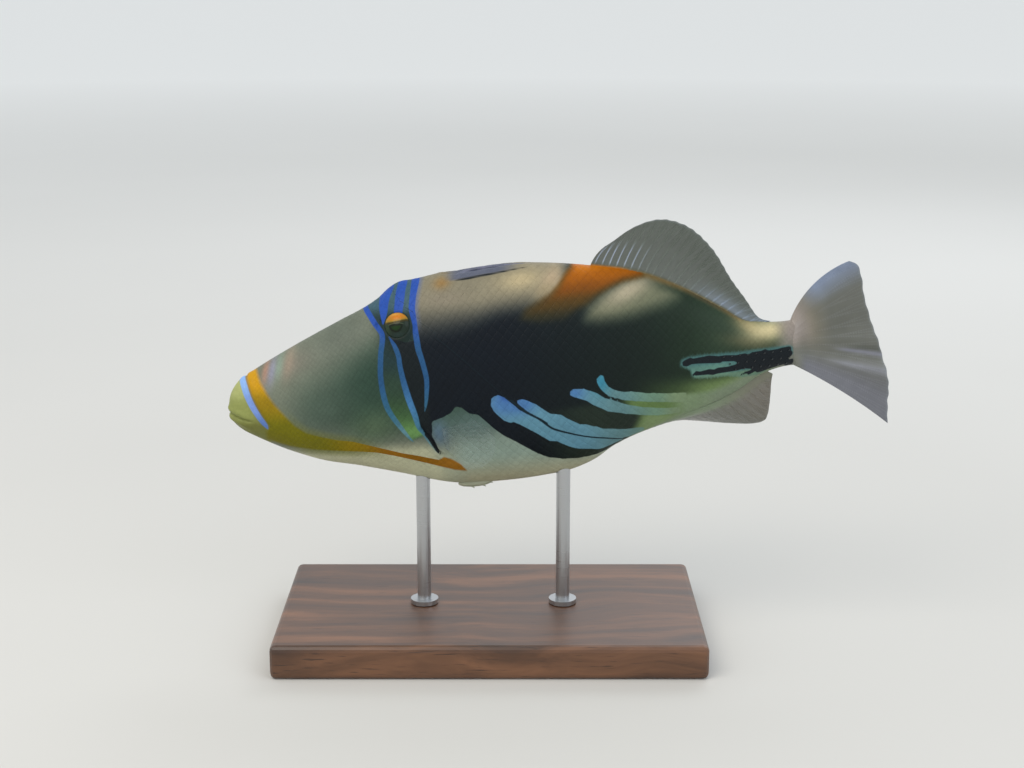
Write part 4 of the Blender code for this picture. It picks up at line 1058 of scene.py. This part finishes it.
def eye_coat(place):
    """The iris: dark green, copper gold above, with a brown rim under the copper and a pale line below it."""
    across, up = place.T
    crescent = patch(place, IRIS_CRESCENT)
    pupil = patch(place, PUPIL)
    ring = np.hypot(across, up)
    return washes("1d2b22", (
        ("2b3d29", 0.9 * blob(place, (-3.2, -0.8), (1.3, 2.4))),
        ("22332f", blob(place, (0.5, -3.6), (2.5, 1.0))),
        ("3a3318", step(crescent, -0.3, 0.1)),
        ("5c6046", 0.7 * bump(pupil, -0.2, 0.14) * step(up, -0.3, 0.1)),
        ("86742a", step(crescent, 0.3, 0.9)),
        ("c4741c", step(crescent, 0.45, 1.2) * blob(place, (0.4, 2.7), (3.6, 1.7))),
        # painted highlight: a thin paler band across the top of the copper
        ("d89c46", 0.7 * blob(place, (-0.4, 3.7), (2.2, 0.5))),
        ("1e281c", step(ring, 4.2, 4.6)),
        ("10190f", step(pupil, -0.08, 0.08)),
        # painted sheen: dark green in the middle of the black pupil
        ("1b3812", step(pupil, 0.3, 1.0) * 0.8),
    ))


eye_finish, tree, shader = new_material(
    "wet_glass_eye", Roughness=0.35, Specular_IOR_Level=0.1, Coat_Weight=0.18, Coat_Roughness=0.05)
paint = add(tree, "Attribute", attribute_name="iris").outputs["Color"]
where = add(tree, "TexCoord").outputs["Object"]
fibre = add(tree, "TexNoise", {"Vector": where, "Scale": cells(0.67), "Detail": 2.0})
level_of = add(tree, "MapRange", {"Value": fibre.outputs["Fac"], "To Min": 0.8, "To Max": 1.2})
tint = add(tree, "HueSaturation", {"Color": paint, "Value": level_of.outputs["Result"]})
tree.links.new(tint.outputs["Color"], shader.inputs["Base Color"])

turn = np.linspace(0, 2 * math.pi, 120, endpoint=False)
fall = np.linspace(0.012, math.pi - 0.012, 80)[:, None]
seen = EYE_RADIUS * np.stack((np.sin(fall) * np.cos(turn), np.sin(fall) * np.sin(turn)), axis=-1)
depth = EYE_HALF_DEPTH * np.cos(fall) + 0 * turn - EYE_SUNK
iris = eye_coat(np.concatenate((seen.reshape(-1, 2), np.zeros((2, 2)))))
for side, side_name in ((-1, "left"), (1, "right")):
    middle_of_eye, back, up, out = eye_frame(side)
    ball = middle_of_eye + seen[..., :1] * back + seen[..., 1:] * up + depth[..., None] * out
    poles = middle_of_eye + np.array([[EYE_HALF_DEPTH - EYE_SUNK], [-EYE_HALF_DEPTH - EYE_SUNK]]) * out
    points, faces = closed_rings(ball, poles)
    eye = new_piece(f"eyeball_{side_name}", to_stand(points), faces, eye_finish, (f"eye_{side_name}",))
    give_values(eye, iris=iris)

# %% [markdown]
# ## The fins
# A fin is a skin as thin as paper over a row of bony rays that branch towards the edge. It swings and
# curls because each ray is moved by itself. So the sheet is drawn ray by ray: a path that starts at the
# root, heads back and up, and leans more or less to one side as it goes. The rays stand out as fine
# ridges on both faces, and the sheet lets light through between them.

# %% A fin's surface
FINE_STEPS = 240
MEMBRANE_THICKNESS = 0.16


def fin_middle(fin, across, shares):
    """The fin's middle surface. From each root point a ray goes in fine steps, each the same short length.

    A step heads back by the cosines of its lean and rise, up by the cosine of the lean times the sine of
    the rise, and to the side by the sine of the lean. The rise changes evenly to the tip, and the lean
    settles from the root's to the tip's within a few millimetres.
    """
    t = np.arange(FINE_STEPS) / FINE_STEPS
    scallop = 1 + fin["scallop"] * np.cos(2 * math.pi * fin["rays"] * across)
    length = (smooth(fin["lengths"], across) * scallop)[:, None]
    start_rise, end_rise = (smooth(fin[name], across)[:, None] for name in ("root_rise", "tip_rise"))
    rise = np.radians(start_rise + (end_rise - start_rise) * t)
    end_lean = smooth(fin["tip_lean"], across)[:, None]
    start_lean = fin.get("root_lean", 0)
    lean = np.radians(end_lean + (start_lean - end_lean) * np.exp(-length * t / fin["lean_within"]))
    upright = np.cos(lean)
    steps = np.stack((
        upright * np.cos(rise), np.sin(lean) * fin["side"], upright * np.sin(rise) * fin["up"]), axis=-1)
    path = np.cumsum(steps, axis=1) * (length / FINE_STEPS)[..., None]
    path = np.concatenate((np.zeros((len(across), 1, 3)), path), axis=1)
    at = shares * FINE_STEPS
    low = np.clip(at.astype(int), 0, FINE_STEPS - 1)
    part = (at - low)[None, :, None]
    points = path[:, low] * (1 - part) + path[:, low + 1] * part
    return fin["root"](across)[:, None, :] + points, length * shares


def ray_ridges(fin, across, shares, spacing):
    """How much of a ray each point holds, 0 to 1: a bell over its distance to the nearest branch.

    The distance is folded in half twice on the way out, so one ray becomes two and then four.
    """
    wave = (fin["rays"] * across)[:, None] % 1 - 0.5
    fork = 0.25 * step(shares, 0.22, 1.15) / step(1, 0.22, 1.15)
    twig = 0.125 * step(shares, 0.5, 1.15) / step(1, 0.5, 1.15) * fin.get("twigs", 1)
    off = np.abs(np.abs(np.abs(wave) - fork) - twig) * spacing
    width = 0.34 - 0.2 * shares
    return np.exp(-((off / width) ** 2))


def fin_piece(name, fin, replaced):
    """A closed sheet: its middle surface pushed out both ways by half the thickness, joined round the rim."""
    across = np.linspace(0, 1, fin["across"])
    shares = np.linspace(0, 1, fin["down"]) ** 1.15
    middle, reach = fin_middle(fin, across, shares)
    spacing = np.linalg.norm(np.gradient(middle, axis=0), axis=-1) * (fin["across"] - 1) / fin["rays"]
    rays = ray_ridges(fin, across, shares, spacing)
    normal = np.cross(np.gradient(middle, axis=0), np.gradient(middle, axis=1))
    normal /= np.maximum(np.linalg.norm(normal, axis=-1, keepdims=True), 1e-9)
    pucker = fin["pucker"] * np.cos(2 * math.pi * fin["rays"] * across)[:, None] * shares
    middle = middle + (pucker + fold_of(fin, across, shares))[..., None] * normal
    body = smooth(fin["flesh"], across)[:, None] * bump(reach, 0, fin.get("flesh_reach", 2.4))
    thick = MEMBRANE_THICKNESS + fin["ridge"] * (1 - 0.65 * shares) * rays + body
    thick *= 1 - 0.6 * step(shares, 0.97, 1)
    front, rear = (middle + sign * thick[..., None] / 2 * normal for sign in (1, -1))
    points, faces = closed_sheet(front, rear)
    piece = new_piece(name, to_stand(points), faces, fin["finish"], replaced)
    grids = rays, reach, across[:, None] + 0 * reach, shares + 0 * reach
    ray, reach, across, share = (np.concatenate((grid, grid[::-1]), axis=0).T.ravel() for grid in grids)
    tint, cover = fin["coat"](across, share, reach, ray), fin["cover"](across, share, ray, reach)
    give_values(piece, ray=ray, reach=reach, tint=tint, cover=cover)


def fold_of(fin, across, shares):
    """Soft folds along a few rays, as bells over the place across that deepen towards the tip."""
    total = 0 * across[:, None] * shares
    for where_across, spread, height in fin.get("folds", ()):
        bell = bump(across[:, None] - 0.03 * np.sin(5 * shares), where_across, spread)
        total = total + height * bell * step(shares, 0.15, 0.9)
    return total


# %% Fin finish
# A ray's joints are about 0.4 mm apart; they are drawn this far apart, or the render can't show them.
RAY_JOINT = 0.9


def fin_finish(name, roughness, gloss):
    """Wet membrane over bone rays: thin and see-through between the rays, jointed along them."""
    made, tree, shader = new_material(name, Roughness=roughness, Coat_Weight=gloss, Coat_Roughness=0.2)
    where = add(tree, "TexCoord").outputs["Object"]
    colour = add(tree, "Attribute", attribute_name="tint").outputs["Color"]
    cloud = add(tree, "TexNoise", {"Vector": where, "Scale": cells(3.8), "Detail": 3.0})
    level_of = add(tree, "MapRange", {"Value": cloud.outputs["Fac"], "To Min": 0.88, "To Max": 1.12})
    tint = add(tree, "HueSaturation", {"Color": colour, "Value": level_of.outputs["Result"]})
    tree.links.new(tint.outputs["Color"], shader.inputs["Base Color"])
    cover = add(tree, "Attribute", attribute_name="cover").outputs["Fac"]
    tree.links.new(cover, shader.inputs["Alpha"])
    reach = add(tree, "Attribute", attribute_name="reach").outputs["Fac"]
    ray = add(tree, "Attribute", attribute_name="ray").outputs["Fac"]
    beat = add(tree, "Math", {0: reach, 1: 2 * math.pi / RAY_JOINT}, operation="MULTIPLY")
    wave = add(tree, "Math", {0: beat.outputs[0]}, operation="SINE")
    joint = add(tree, "Math", {0: wave.outputs[0], 1: ray}, operation="MULTIPLY")
    height = add(tree, "Math", {0: joint.outputs[0], 1: cloud.outputs["Fac"]}, operation="ADD")
    dents = add(tree, "Bump", {"Height": height.outputs[0], "Strength": 0.3, "Distance": 0.12 * MM})
    tree.links.new(dents.outputs["Normal"], shader.inputs["Normal"])
    return made


membrane_finish = fin_finish("wet_fin_membrane", 0.4, 0.2)


# %% [markdown]
# ### Dorsal and anal fin
# These two drive a triggerfish: waves run along them. In the picture the dorsal fin stands up with its
# front half highest, and the anal fin is swept away to the far side at its front and back in line with
# the body at its rear.

# %% Dorsal and anal fin
def line_root(start, end, line, lift):
    """A root line along the back or keel: places from start to end, at the outline's height plus a lift."""
    def root(across):
        along = start + (end - start) * across
        return np.stack((along, 0 * along, smooth(line, along) + smooth(lift, along)), axis=-1)
    return root


def dorsal_coat(across, share, reach, ray):
    """Clear grey green, with bluish white streaks along the first and last rays near the root."""
    streak = ray ** 2 * (1 - step(reach, 6, 12)) * step(reach, 0.8, 2.5)
    front, rear = 1 - step(across, 0.2, 0.34), step(across, 0.5, 0.72)
    return washes("50574f", (
        ("6c736c", ray * 0.6),
        ("9eaac0", streak * front),
        ("7f8da1", (0.6 + 0.3 * ray) * rear * (1 - step(reach, 2, 9)) * step(reach, 0.5, 2.0)),
        ("7f878a", step(share, 0.95, 1) * 0.6),
        ("434a40", blob(np.stack((across, share), axis=-1), (0.55, 0.75), (0.3, 0.3)) * 0.7),
        ("a4640e", (1 - step(reach, 0.3, 1.3)) * (1 - step(across, 0.16, 0.26))),
        ("67582f", (1 - step(reach, 0.3, 1.3)) * step(across, 0.2, 0.3) * (1 - step(across, 0.84, 0.94))),
        ("9c8e68", (1 - step(reach, 0.3, 1.3)) * step(across, 0.84, 0.94)),
    ))


def dorsal_cover(across, share, ray, reach):
    """Nearly solid at the root and on the rays, clearest in the middle of the membrane."""
    open_part = 0.78 + 0.08 * step(share, 0.9, 1) + 0.06 * step(across, 0.5, 0.8)
    return np.maximum(open_part + 0.25 * ray, 1 - step(reach, 0.5, 3.0))


dorsal = {
    "root": line_root(130.5, 189.4, CREST_LINE, ((130, -0.3), (190, -0.3))), "up": 1, "side": 1,
    "rays": 24, "across": 400, "down": 60, "ridge": 0.26, "pucker": 0.06, "scallop": 0.005,
    "lengths": (
        (0, 9), (0.1, 14.9), (0.19, 19.7), (0.33, 21.5), (0.48, 18.4), (0.64, 12.2), (0.78, 8.1), (0.92, 4),
        (1, 2.2)),
    "root_rise": (
        (0, 66), (0.1, 68), (0.19, 66), (0.33, 60), (0.48, 50), (0.64, 37), (0.78, 28), (0.92, 18), (1, 14)),
    "tip_rise": (
        (0, 30), (0.1, 46), (0.19, 45), (0.33, 39), (0.48, 32), (0.64, 22), (0.78, 17), (0.92, 12), (1, 10)),
    "tip_lean": ((0, -5), (0.3, 3), (0.6, 10), (1, 5)), "lean_within": 5.0,
    "flesh": ((0, 0.9), (0.5, 1.3), (1, 0.9)), "finish": membrane_finish,
    "coat": dorsal_coat, "cover": dorsal_cover,
}
fin_piece("dorsal_fin_sheet", dorsal, ("dorsal_fin",))


def anal_coat(across, share, reach, ray):
    """Pale cream grey, greenish at the root, whiter along the rays."""
    return washes("65665a", (
        ("77786c", ray * 0.6),
        ("76866a", 1 - step(reach, 1.5, 6)),
        ("6f665c", step(across, 0.6, 0.9) * 0.6),
        ("8a8c86", step(share, 0.95, 1) * 0.4),
    ))


def anal_cover(across, share, ray, reach):
    """A little clearer than the dorsal fin."""
    return np.maximum(0.76 + 0.2 * ray, 1 - step(reach, 2.5, 5.5))


anal = {
    "root": line_root(134, 189.4, KEEL_LINE, ((134, 1.5), (148, 1.2), (158, 0.4), (190, 0.3))),
    "up": -1, "side": 1, "rays": 22, "across": 400, "down": 60,
    "ridge": 0.08, "pucker": 0.03, "scallop": 0.004,
    "lengths": (
        (0, 6.5), (0.12, 12), (0.3, 16.5), (0.45, 17.2), (0.6, 19), (0.7, 20.2), (0.76, 19.6), (0.82, 15.8),
        (0.88, 11), (0.96, 4.8), (1, 2.4)),
    "root_rise": ((0, 62), (0.3, 58), (0.45, 56), (0.6, 54), (0.75, 52), (0.88, 50), (1, 40)),
    "tip_rise": ((0, 40), (0.3, 42), (0.45, 41), (0.6, 40), (0.75, 40), (0.88, 38), (1, 30)),
    "tip_lean": ((0, 84), (0.15, 84), (0.3, 81), (0.45, 62), (0.6, 42), (0.75, 26), (0.88, 18), (1, 12)),
    "lean_within": 1.6, "flesh": ((0, 0.1), (0.15, 0.3), (0.5, 1.1), (1, 0.8)), "finish": membrane_finish,
    "coat": anal_coat, "cover": anal_cover,
}
fin_piece("anal_fin_sheet", anal, ("anal_fin",))


# %% [markdown]
# ### Tail fin
# The tail is spread, with its upper edge rolled a little towards the viewer and a few soft folds in the
# lower half. It is thicker than the other fins and nearly solid, lavender grey, with a bluish rim above
# that is painted highlight, and with painted highlight and shade along the folds.

# %% Tail fin
def tail_root(across):
    """A straight root line down the end of the tail stem."""
    return np.stack((198.3 + 0 * across, 0 * across, 11.1 - 15.3 * across), axis=-1)


def tail_coat(across, share, reach, ray):
    """Lavender grey, pinkish cream at the root, pale rays; painted bluish highlight on the top edge and on
    folds.
    """
    return washes("64665f", (
        ("5a5c54", blob(np.stack((across, share), axis=-1), (0.4, 0.5), (0.22, 0.4)) * 0.8),
        ("6d6f77", step(across, 0.6, 0.9)),
        ("7c7e84", 0.2 * ray),
        # painted highlight: the rolled upper edge is painted paler and bluish
        ("7d8aa2", 1 - step(across, 0.02, 0.2)),
        ("77705f", (1 - step(reach, 7, 16)) * (1 - step(across, 0.3, 0.75)) * 0.8),
        ("8e847c", (1 - step(reach, 3, 11)) * (1 - step(across, 0.25, 0.65))),
        ("8e857d", (1 - step(reach, 0.5, 5)) * (1 - step(across, 0.25, 0.7))),
        ("74766c", (1 - step(reach, 1, 6)) * step(across, 0.4, 0.8)),
        # painted highlight along two folds, and painted shade just beside the first of them
        ("888a9a", bump(across - 0.03 * share, 0.56, 0.02) * step(share, 0.4, 0.65) * 0.8),
        ("84868f", bump(across + 0.02 * share, 0.71, 0.03) * step(share, 0.3, 0.6) * 0.7),
        ("545850", bump(across - 0.03 * share, 0.53, 0.018) * step(share, 0.5, 0.75) * 0.6),
        ("8c9499", step(share, 0.97, 1) * 0.5),
    ))


def tail_cover(across, share, ray, reach):
    """Nearly solid, clearest near the rear edge."""
    return np.clip(1 - 0.12 * step(share, 0.4, 1) + 0.08 * ray, 0, 1)


tail = {
    "root": tail_root, "up": 1, "side": 1, "rays": 12, "across": 420, "down": 100,
    "ridge": 0.1, "pucker": 0.02, "scallop": 0.004, "flesh_reach": 4.6,
    "lengths": (
        (0, 29.8), (0.05, 31.2), (0.12, 30.4), (0.25, 28.2), (0.4, 28.8), (0.5, 30.3), (0.65, 33.8),
        (0.8, 36.9), (0.9, 38.8), (1, 42)),
    "root_rise": (
        (0, 68), (0.05, 60), (0.12, 46), (0.25, 26), (0.4, 6), (0.5, -2), (0.65, -14), (0.8, -22), (0.9, -26),
        (1, -31.5)),
    "tip_rise": (
        (0, 18), (0.05, 19), (0.12, 21), (0.25, 17), (0.4, 4), (0.5, -3.5), (0.65, -17), (0.8, -27),
        (0.9, -35.5), (1, -43.5)),
    "tip_lean": ((0, -5), (0.2, 1), (0.4, 5), (0.5, 1), (0.6, 5), (0.72, 0), (0.85, 4), (1, 7)),
    "lean_within": 14, "flesh": ((0, 0.8), (0.12, 3.8), (0.3, 6.6), (0.6, 7.1), (0.85, 4.8), (1, 1)),
    "folds": ((0.56, 0.03, 0.35), (0.71, 0.04, 0.4), (0.32, 0.06, 0.25)),
    "finish": fin_finish("wet_tail_skin", 0.44, 0.2), "coat": tail_coat, "cover": tail_cover,
}
fin_piece("tail_fin_sheet", tail, ("tail_fin",))


# %% [markdown]
# ### Pectoral fins
# The small fan behind each gill slit is the clearest fin of all: in the picture it is little more than
# a bluish shade over the belly. Its root is a short fleshy bar set into the flank.

# %% Pectoral fins
def pectoral_root(side):
    """A short slanted root line on the flank of one side, sunk a little into the skin."""
    def root(across):
        along, up = 75.0 + 0.6 * across, -12.5 - 8 * across
        row = np.searchsorted(rows, along)
        ring = form[row, :2 * QUARTER + 1]
        flank = np.array([np.interp(-h, -r[:, 2], -r[:, 1]) for h, r in zip(up, ring)])
        return np.stack((along, side * (flank - 0.3), up), axis=-1)
    return root


def pectoral_coat(across, share, reach, ray):
    """Clear with a blue grey cast near the root, whitish on the rays."""
    return washes("93a3a6", (
        ("a9b5b8", ray * 0.8),
        ("83959b", 1 - step(reach, 1, 7)),
        ("778a8b", 1 - step(reach, 0.3, 1.8)),
    ))


def pectoral_cover(across, share, ray, reach):
    """The clearest membrane, with rays that show."""
    return np.maximum(0.02 + 0.04 * ray + 0.02 * step(share, 0.93, 1), 0.35 - 0.35 * step(reach, 0.3, 3.5))


pectoral_finish = fin_finish("clear_fin_membrane", 0.35, 0.2)
for side, side_name in ((-1, "left"), (1, "right")):
    pectoral = {
        "root": pectoral_root(side), "up": 1, "side": side, "rays": 13, "across": 210, "down": 60,
        "twigs": 0.6, "ridge": 0.12, "pucker": 0.03, "scallop": 0.006,
        "lengths": ((0, 14), (0.15, 18.5), (0.4, 20.5), (0.7, 17.5), (1, 10)),
        "root_rise": ((0, 22), (1, -40)), "tip_rise": ((0, 12), (1, -56)), "root_lean": 90,
        "tip_lean": ((0, 22), (1, 26)), "lean_within": 1.5, "flesh": ((0, 0.7), (0.5, 1.2), (1, 0.7)),
        "finish": pectoral_finish, "coat": pectoral_coat, "cover": pectoral_cover,
    }
    fin_piece(f"pectoral_fin_sheet_{side_name}", pectoral, (f"pectoral_fin_{side_name}",))


# %% [markdown]
# ## Spines
# The first dorsal fin is the trigger: a stout rough spine with two smaller ones behind it, folded here
# into its groove under loose blue-grey skin. Below the belly the pelvic fins are only a blunt spiny
# stub, and on each side of the tail stem three rows of tiny hooks stand in the black patch. A tube
# carried along a path makes the spines, and a lump whose radius bristles makes the stub.

# %% Folded trigger
def rough_bone(name, code, rim_code):
    """Rough bone under thin skin: a matt grain of about 0.6 mm, in two tones that change over 3 mm."""
    made, tree, shader = new_material(name, Roughness=0.55, Coat_Weight=0.15, Coat_Roughness=0.3)
    where = add(tree, "TexCoord").outputs["Object"]
    grain = add(tree, "TexNoise", {"Vector": where, "Scale": cells(0.62), "Detail": 3.0})
    cloud = add(tree, "TexNoise", {"Vector": where, "Scale": cells(3.3), "Detail": 2.0})
    share = add(tree, "MapRange", {"Value": cloud.outputs["Fac"], "From Min": 0.4, "From Max": 0.7})
    colours = {0: share.outputs["Result"], 6: linear(code), 7: linear(rim_code)}
    tone = add(tree, "Mix", colours, data_type="RGBA")
    tree.links.new(tone.outputs[2], shader.inputs["Base Color"])
    dents = add(tree, "Bump", {"Height": grain.outputs["Fac"], "Strength": 0.4, "Distance": 0.15 * MM})
    tree.links.new(dents.outputs["Normal"], shader.inputs["Normal"])
    return made


def tube(path, radius):
    """A closed tube: rings square to the path, with a row of radii for each, and a point at both ends."""
    heading = np.gradient(path, axis=0)
    heading /= np.linalg.norm(heading, axis=-1, keepdims=True)
    side_way = np.cross(heading, (0, 1.0, 0))
    side_way /= np.linalg.norm(side_way, axis=-1, keepdims=True)
    other_way = np.cross(heading, side_way)
    angle = np.linspace(0, 2 * math.pi, radius.shape[1], endpoint=False)[:, None]
    ring = np.cos(angle) * side_way[:, None] + np.sin(angle) * other_way[:, None]
    return closed_rings(path[:, None] + radius[..., None] * ring, path[[0, -1]])


# (root along, tip along, root below back, tip below back, across, root radius, tip radius), in mm
FOLDED_SPINES = (
    (79.5, 113.5, 1.5, 0.3, -0.5, 1.15, 0.3), (91.0, 111.0, 1.7, 0.6, 1.2, 0.7, 0.25),
    (98.0, 107.0, 1.6, 0.7, -1.2, 0.5, 0.2))
ROOT_DIVE = 3.2
spine_finish = rough_bone("spine_under_thin_skin", "4f5468", "64667e")
t = np.linspace(0, 1, 90)
round_it = np.linspace(0, 2 * math.pi, 20, endpoint=False)
ripple = 0.05 * np.sin(34 * t)[:, None] * np.cos(3 * round_it)
rough = 1 + ripple + 0.03 * np.sin(61 * t + 1)[:, None] * np.sin(5 * round_it)
blunt_ends = np.sqrt(np.clip(t / 0.04, 0.02, 1) * np.clip((1 - t) / 0.03, 0.02, 1))[:, None]
for number, spine in enumerate(FOLDED_SPINES):
    root, tip_at, root_below, tip_below, across_at, root_radius, tip_radius = spine
    along = root + (tip_at - root) * t
    below = root_below + (tip_below - root_below) * t + ROOT_DIVE * (1 - step(t, 0, 0.32))
    path = np.stack((along, across_at * (1 - t), smooth(CREST_LINE, along) - below), axis=-1)
    radius = (root_radius + (tip_radius - root_radius) * t)[:, None] * rough * blunt_ends
    points, faces = tube(path, radius)
    name = f"trigger_spine_{number + 1}"
    new_piece(name, to_stand(points), faces, spine_finish, ("dorsal_spines",))

# %% Folded skin between the trigger's spines
SHEET_THICKNESS = 0.5
fold_along = np.linspace(81.0, 111.5, 150)[:, None]
fold_across = np.linspace(-1, 1, 50)[None, :]
half_span = straight(GROOVE_HALF, fold_along) * 0.96
pleat = np.cos(fold_across * 9 + 0.09 * (fold_along - 80)) * (1 - np.abs(fold_across))
pleat = pleat * step(fold_along, 82, 86)
sunk = 1.0 + 1.6 * (1 - step(fold_along, 81, 87)) + 0.55 * np.abs(fold_across) ** 1.5 * half_span / 2
level_top = smooth(CREST_LINE, fold_along) - sunk + 0.07 * pleat
top = np.stack((fold_along + 0 * fold_across, fold_across * half_span, level_top), axis=-1).transpose(1, 0, 2)
points, faces = closed_sheet(top, top - (0, 0, SHEET_THICKNESS))
loose_skin = rough_bone("loose_fin_skin", "4a5064", "5e6278")
new_piece("trigger_membrane", to_stand(points), faces, loose_skin)

# %% Pelvic stub
stub_turn = np.linspace(0, 2 * math.pi, 96, endpoint=False)[None, :]
stub_fall = np.linspace(0.03, math.pi - 0.03, 90)[:, None]
bristle = np.maximum(0, np.cos(stub_turn * 5)) ** 6 * np.maximum(0, np.cos(stub_fall * 9)) ** 6
bristle = bristle * step(-np.cos(stub_turn), -0.2, 0.3)
stub_middle = np.array((83.5, 0, float(smooth(KEEL_LINE, 83.5)) + 0.1))
swell = 1 + 0.5 * bristle
round_it = np.sin(stub_fall) * swell
stub = stub_middle + np.stack((
    -6.0 * np.cos(stub_fall) + 0.9 * bristle, 1.6 * np.sin(stub_turn) * round_it,
    1.5 * np.cos(stub_turn) * round_it), axis=-1)
points, faces = closed_rings(stub, stub[[0, -1]].mean(axis=1))
stub_finish = rough_bone("pelvic_bone_under_skin", "949880", "a6a68e")
new_piece("pelvic_stub", to_stand(points), faces, stub_finish, ("pelvic_spine",))

# %% Hooks on the tail stem
HOOK_ROWS = ((174, 197, 1.9, 9), (176, 197, -0.6, 8), (178, 196, -3.1, 7))
HOOK_LENGTH = 0.9
HOOK_RINGS, HOOK_SIDES = 5, 6
hook_steps = np.linspace(0, 1, HOOK_RINGS)
hook_turn = np.linspace(0, 2 * math.pi, HOOK_SIDES, endpoint=False)
hook_along = np.concatenate([np.linspace(start, end, amount) for start, end, _, amount in HOOK_ROWS])
hook_up = np.concatenate([np.full(amount, up) for _, _, up, amount in HOOK_ROWS])
hook_row = np.interp(hook_along, rows, np.arange(len(rows)))
ring_heights = form[np.searchsorted(rows, hook_along), :2 * QUARTER + 1, 2]
hook_column = np.abs(ring_heights - hook_up[:, None]).argmin(axis=1)
hook_points = []
for side in (-1, 1):
    column = hook_column if side < 0 else COLUMNS - hook_column
    foot, out = on_grid(surface, hook_row, column), on_grid(surface_normal, hook_row, column)
    lean = np.array((-1.0, 0, 0))
    path = foot[:, None] + HOOK_LENGTH * (
        (hook_steps * 1.1 - 0.3)[:, None] * out[:, None] + (0.75 * hook_steps ** 2)[:, None] * lean)
    thick = 0.42 * (1 - hook_steps) + 0.03
    up_way = np.cross(out, lean)
    ring = np.cos(hook_turn)[:, None] * lean + 0 * out[:, None, None]
    ring = ring + np.sin(hook_turn)[:, None] * up_way[:, None, None]
    hook_points.append((path[:, :, None] + thick[:, None, None] * ring).reshape(-1, 3))
hook_number = np.arange(HOOK_RINGS * HOOK_SIDES)
start = len(hook_number) * np.arange(2 * len(hook_along))[:, None, None]
quads = start + grid_faces(HOOK_RINGS, HOOK_SIDES, wrap=True)
ends = start + np.stack((hook_number[:HOOK_SIDES], hook_number[:-HOOK_SIDES - 1:-1]))
faces = quads.reshape(-1, 4), ends.reshape(-1, HOOK_SIDES)
hook_finish = rough_bone("tail_hook_bone", "12181b", "1d2427")
new_piece("tail_hooks", to_stand(np.concatenate(hook_points)), faces, hook_finish)

# %% [markdown]
# ## The stand
# The base is a block of walnut, oiled and waxed, and the rods are brushed steel. Walnut's grain runs
# the long way of the block: brown bands some millimetres wide, with dark pores a fraction of a
# millimetre wide and some millimetres long. Brushing leaves fine lines round each rod.

# %% Walnut and steel
walnut, tree, shader = new_material("waxed_walnut", Roughness=0.4, Coat_Weight=0.25, Coat_Roughness=0.3)
where = add(tree, "TexCoord").outputs["Object"]
warp = add(tree, "TexNoise", {"Vector": where, "Scale": 9.0, "Detail": 2.0})
bent = add(tree, "Mix", {0: 0.04, 4: where, 5: warp.outputs["Color"]}, data_type="VECTOR")
long_way = add(tree, "Mapping", {"Vector": bent.outputs[1], "Scale": (4.0, 60.0, 46.0)})
bands = add(tree, "TexNoise", {"Vector": long_way.outputs[0], "Scale": 1.6, "Detail": 5.0, "Roughness": 0.62})
pore_way = add(tree, "Mapping", {"Vector": where, "Scale": (90.0, 1500.0, 1500.0)})
pores = add(tree, "TexNoise", {"Vector": pore_way.outputs[0], "Scale": 1.0, "Detail": 2.0})
grain_ramp = add(tree, "ValToRGB", {"Fac": bands.outputs["Fac"]})
stops = grain_ramp.color_ramp.elements
stops[0].position, stops[0].color = 0.32, linear("2f1d12")
stops[1].position, stops[1].color = 0.68, linear("7a5236")
stops.new(0.5).color = linear("553722")
pore_share = add(tree, "MapRange", {
    "Value": pores.outputs["Fac"], "From Min": 0.62, "From Max": 0.7, "To Max": 0.75})
wood_colours = {0: pore_share.outputs["Result"], 6: grain_ramp.outputs["Color"], 7: linear("21140c")}
wood = add(tree, "Mix", wood_colours, data_type="RGBA")
tree.links.new(wood.outputs[2], shader.inputs["Base Color"])
satin = add(tree, "MapRange", {"Value": bands.outputs["Fac"], "To Min": 0.32, "To Max": 0.5})
tree.links.new(satin.outputs["Result"], shader.inputs["Roughness"])
dents = add(tree, "Bump", {"Height": pore_share.outputs["Result"], "Strength": 0.35, "Distance": 0.1 * MM})
dents.invert = True
tree.links.new(dents.outputs["Normal"], shader.inputs["Normal"])

steel, tree, shader = new_material(
    "brushed_steel", Metallic=1.0, Roughness=0.3, Base_Color=tuple(linear("b9bbbd")))
where = add(tree, "TexCoord").outputs["Object"]
rings = add(tree, "Mapping", {"Vector": where, "Scale": (60.0, 60.0, 5000.0)})
lines = add(tree, "TexNoise", {"Vector": rings.outputs[0], "Scale": 1.0, "Detail": 2.0})
shine = add(tree, "MapRange", {"Value": lines.outputs["Fac"], "To Min": 0.22, "To Max": 0.4})
tree.links.new(shine.outputs["Result"], shader.inputs["Roughness"])
scratch = add(tree, "Bump", {"Height": lines.outputs["Fac"], "Strength": 0.15, "Distance": 0.05 * MM})
tree.links.new(scratch.outputs["Normal"], shader.inputs["Normal"])

for node, finish in (("stand_base", walnut), ("stand_rod_front", steel), ("stand_rod_rear", steel)):
    part = bpy.data.objects[node]
    for holder in part.material_slots:
        holder.material = finish
    print(node, "has", finish.name)
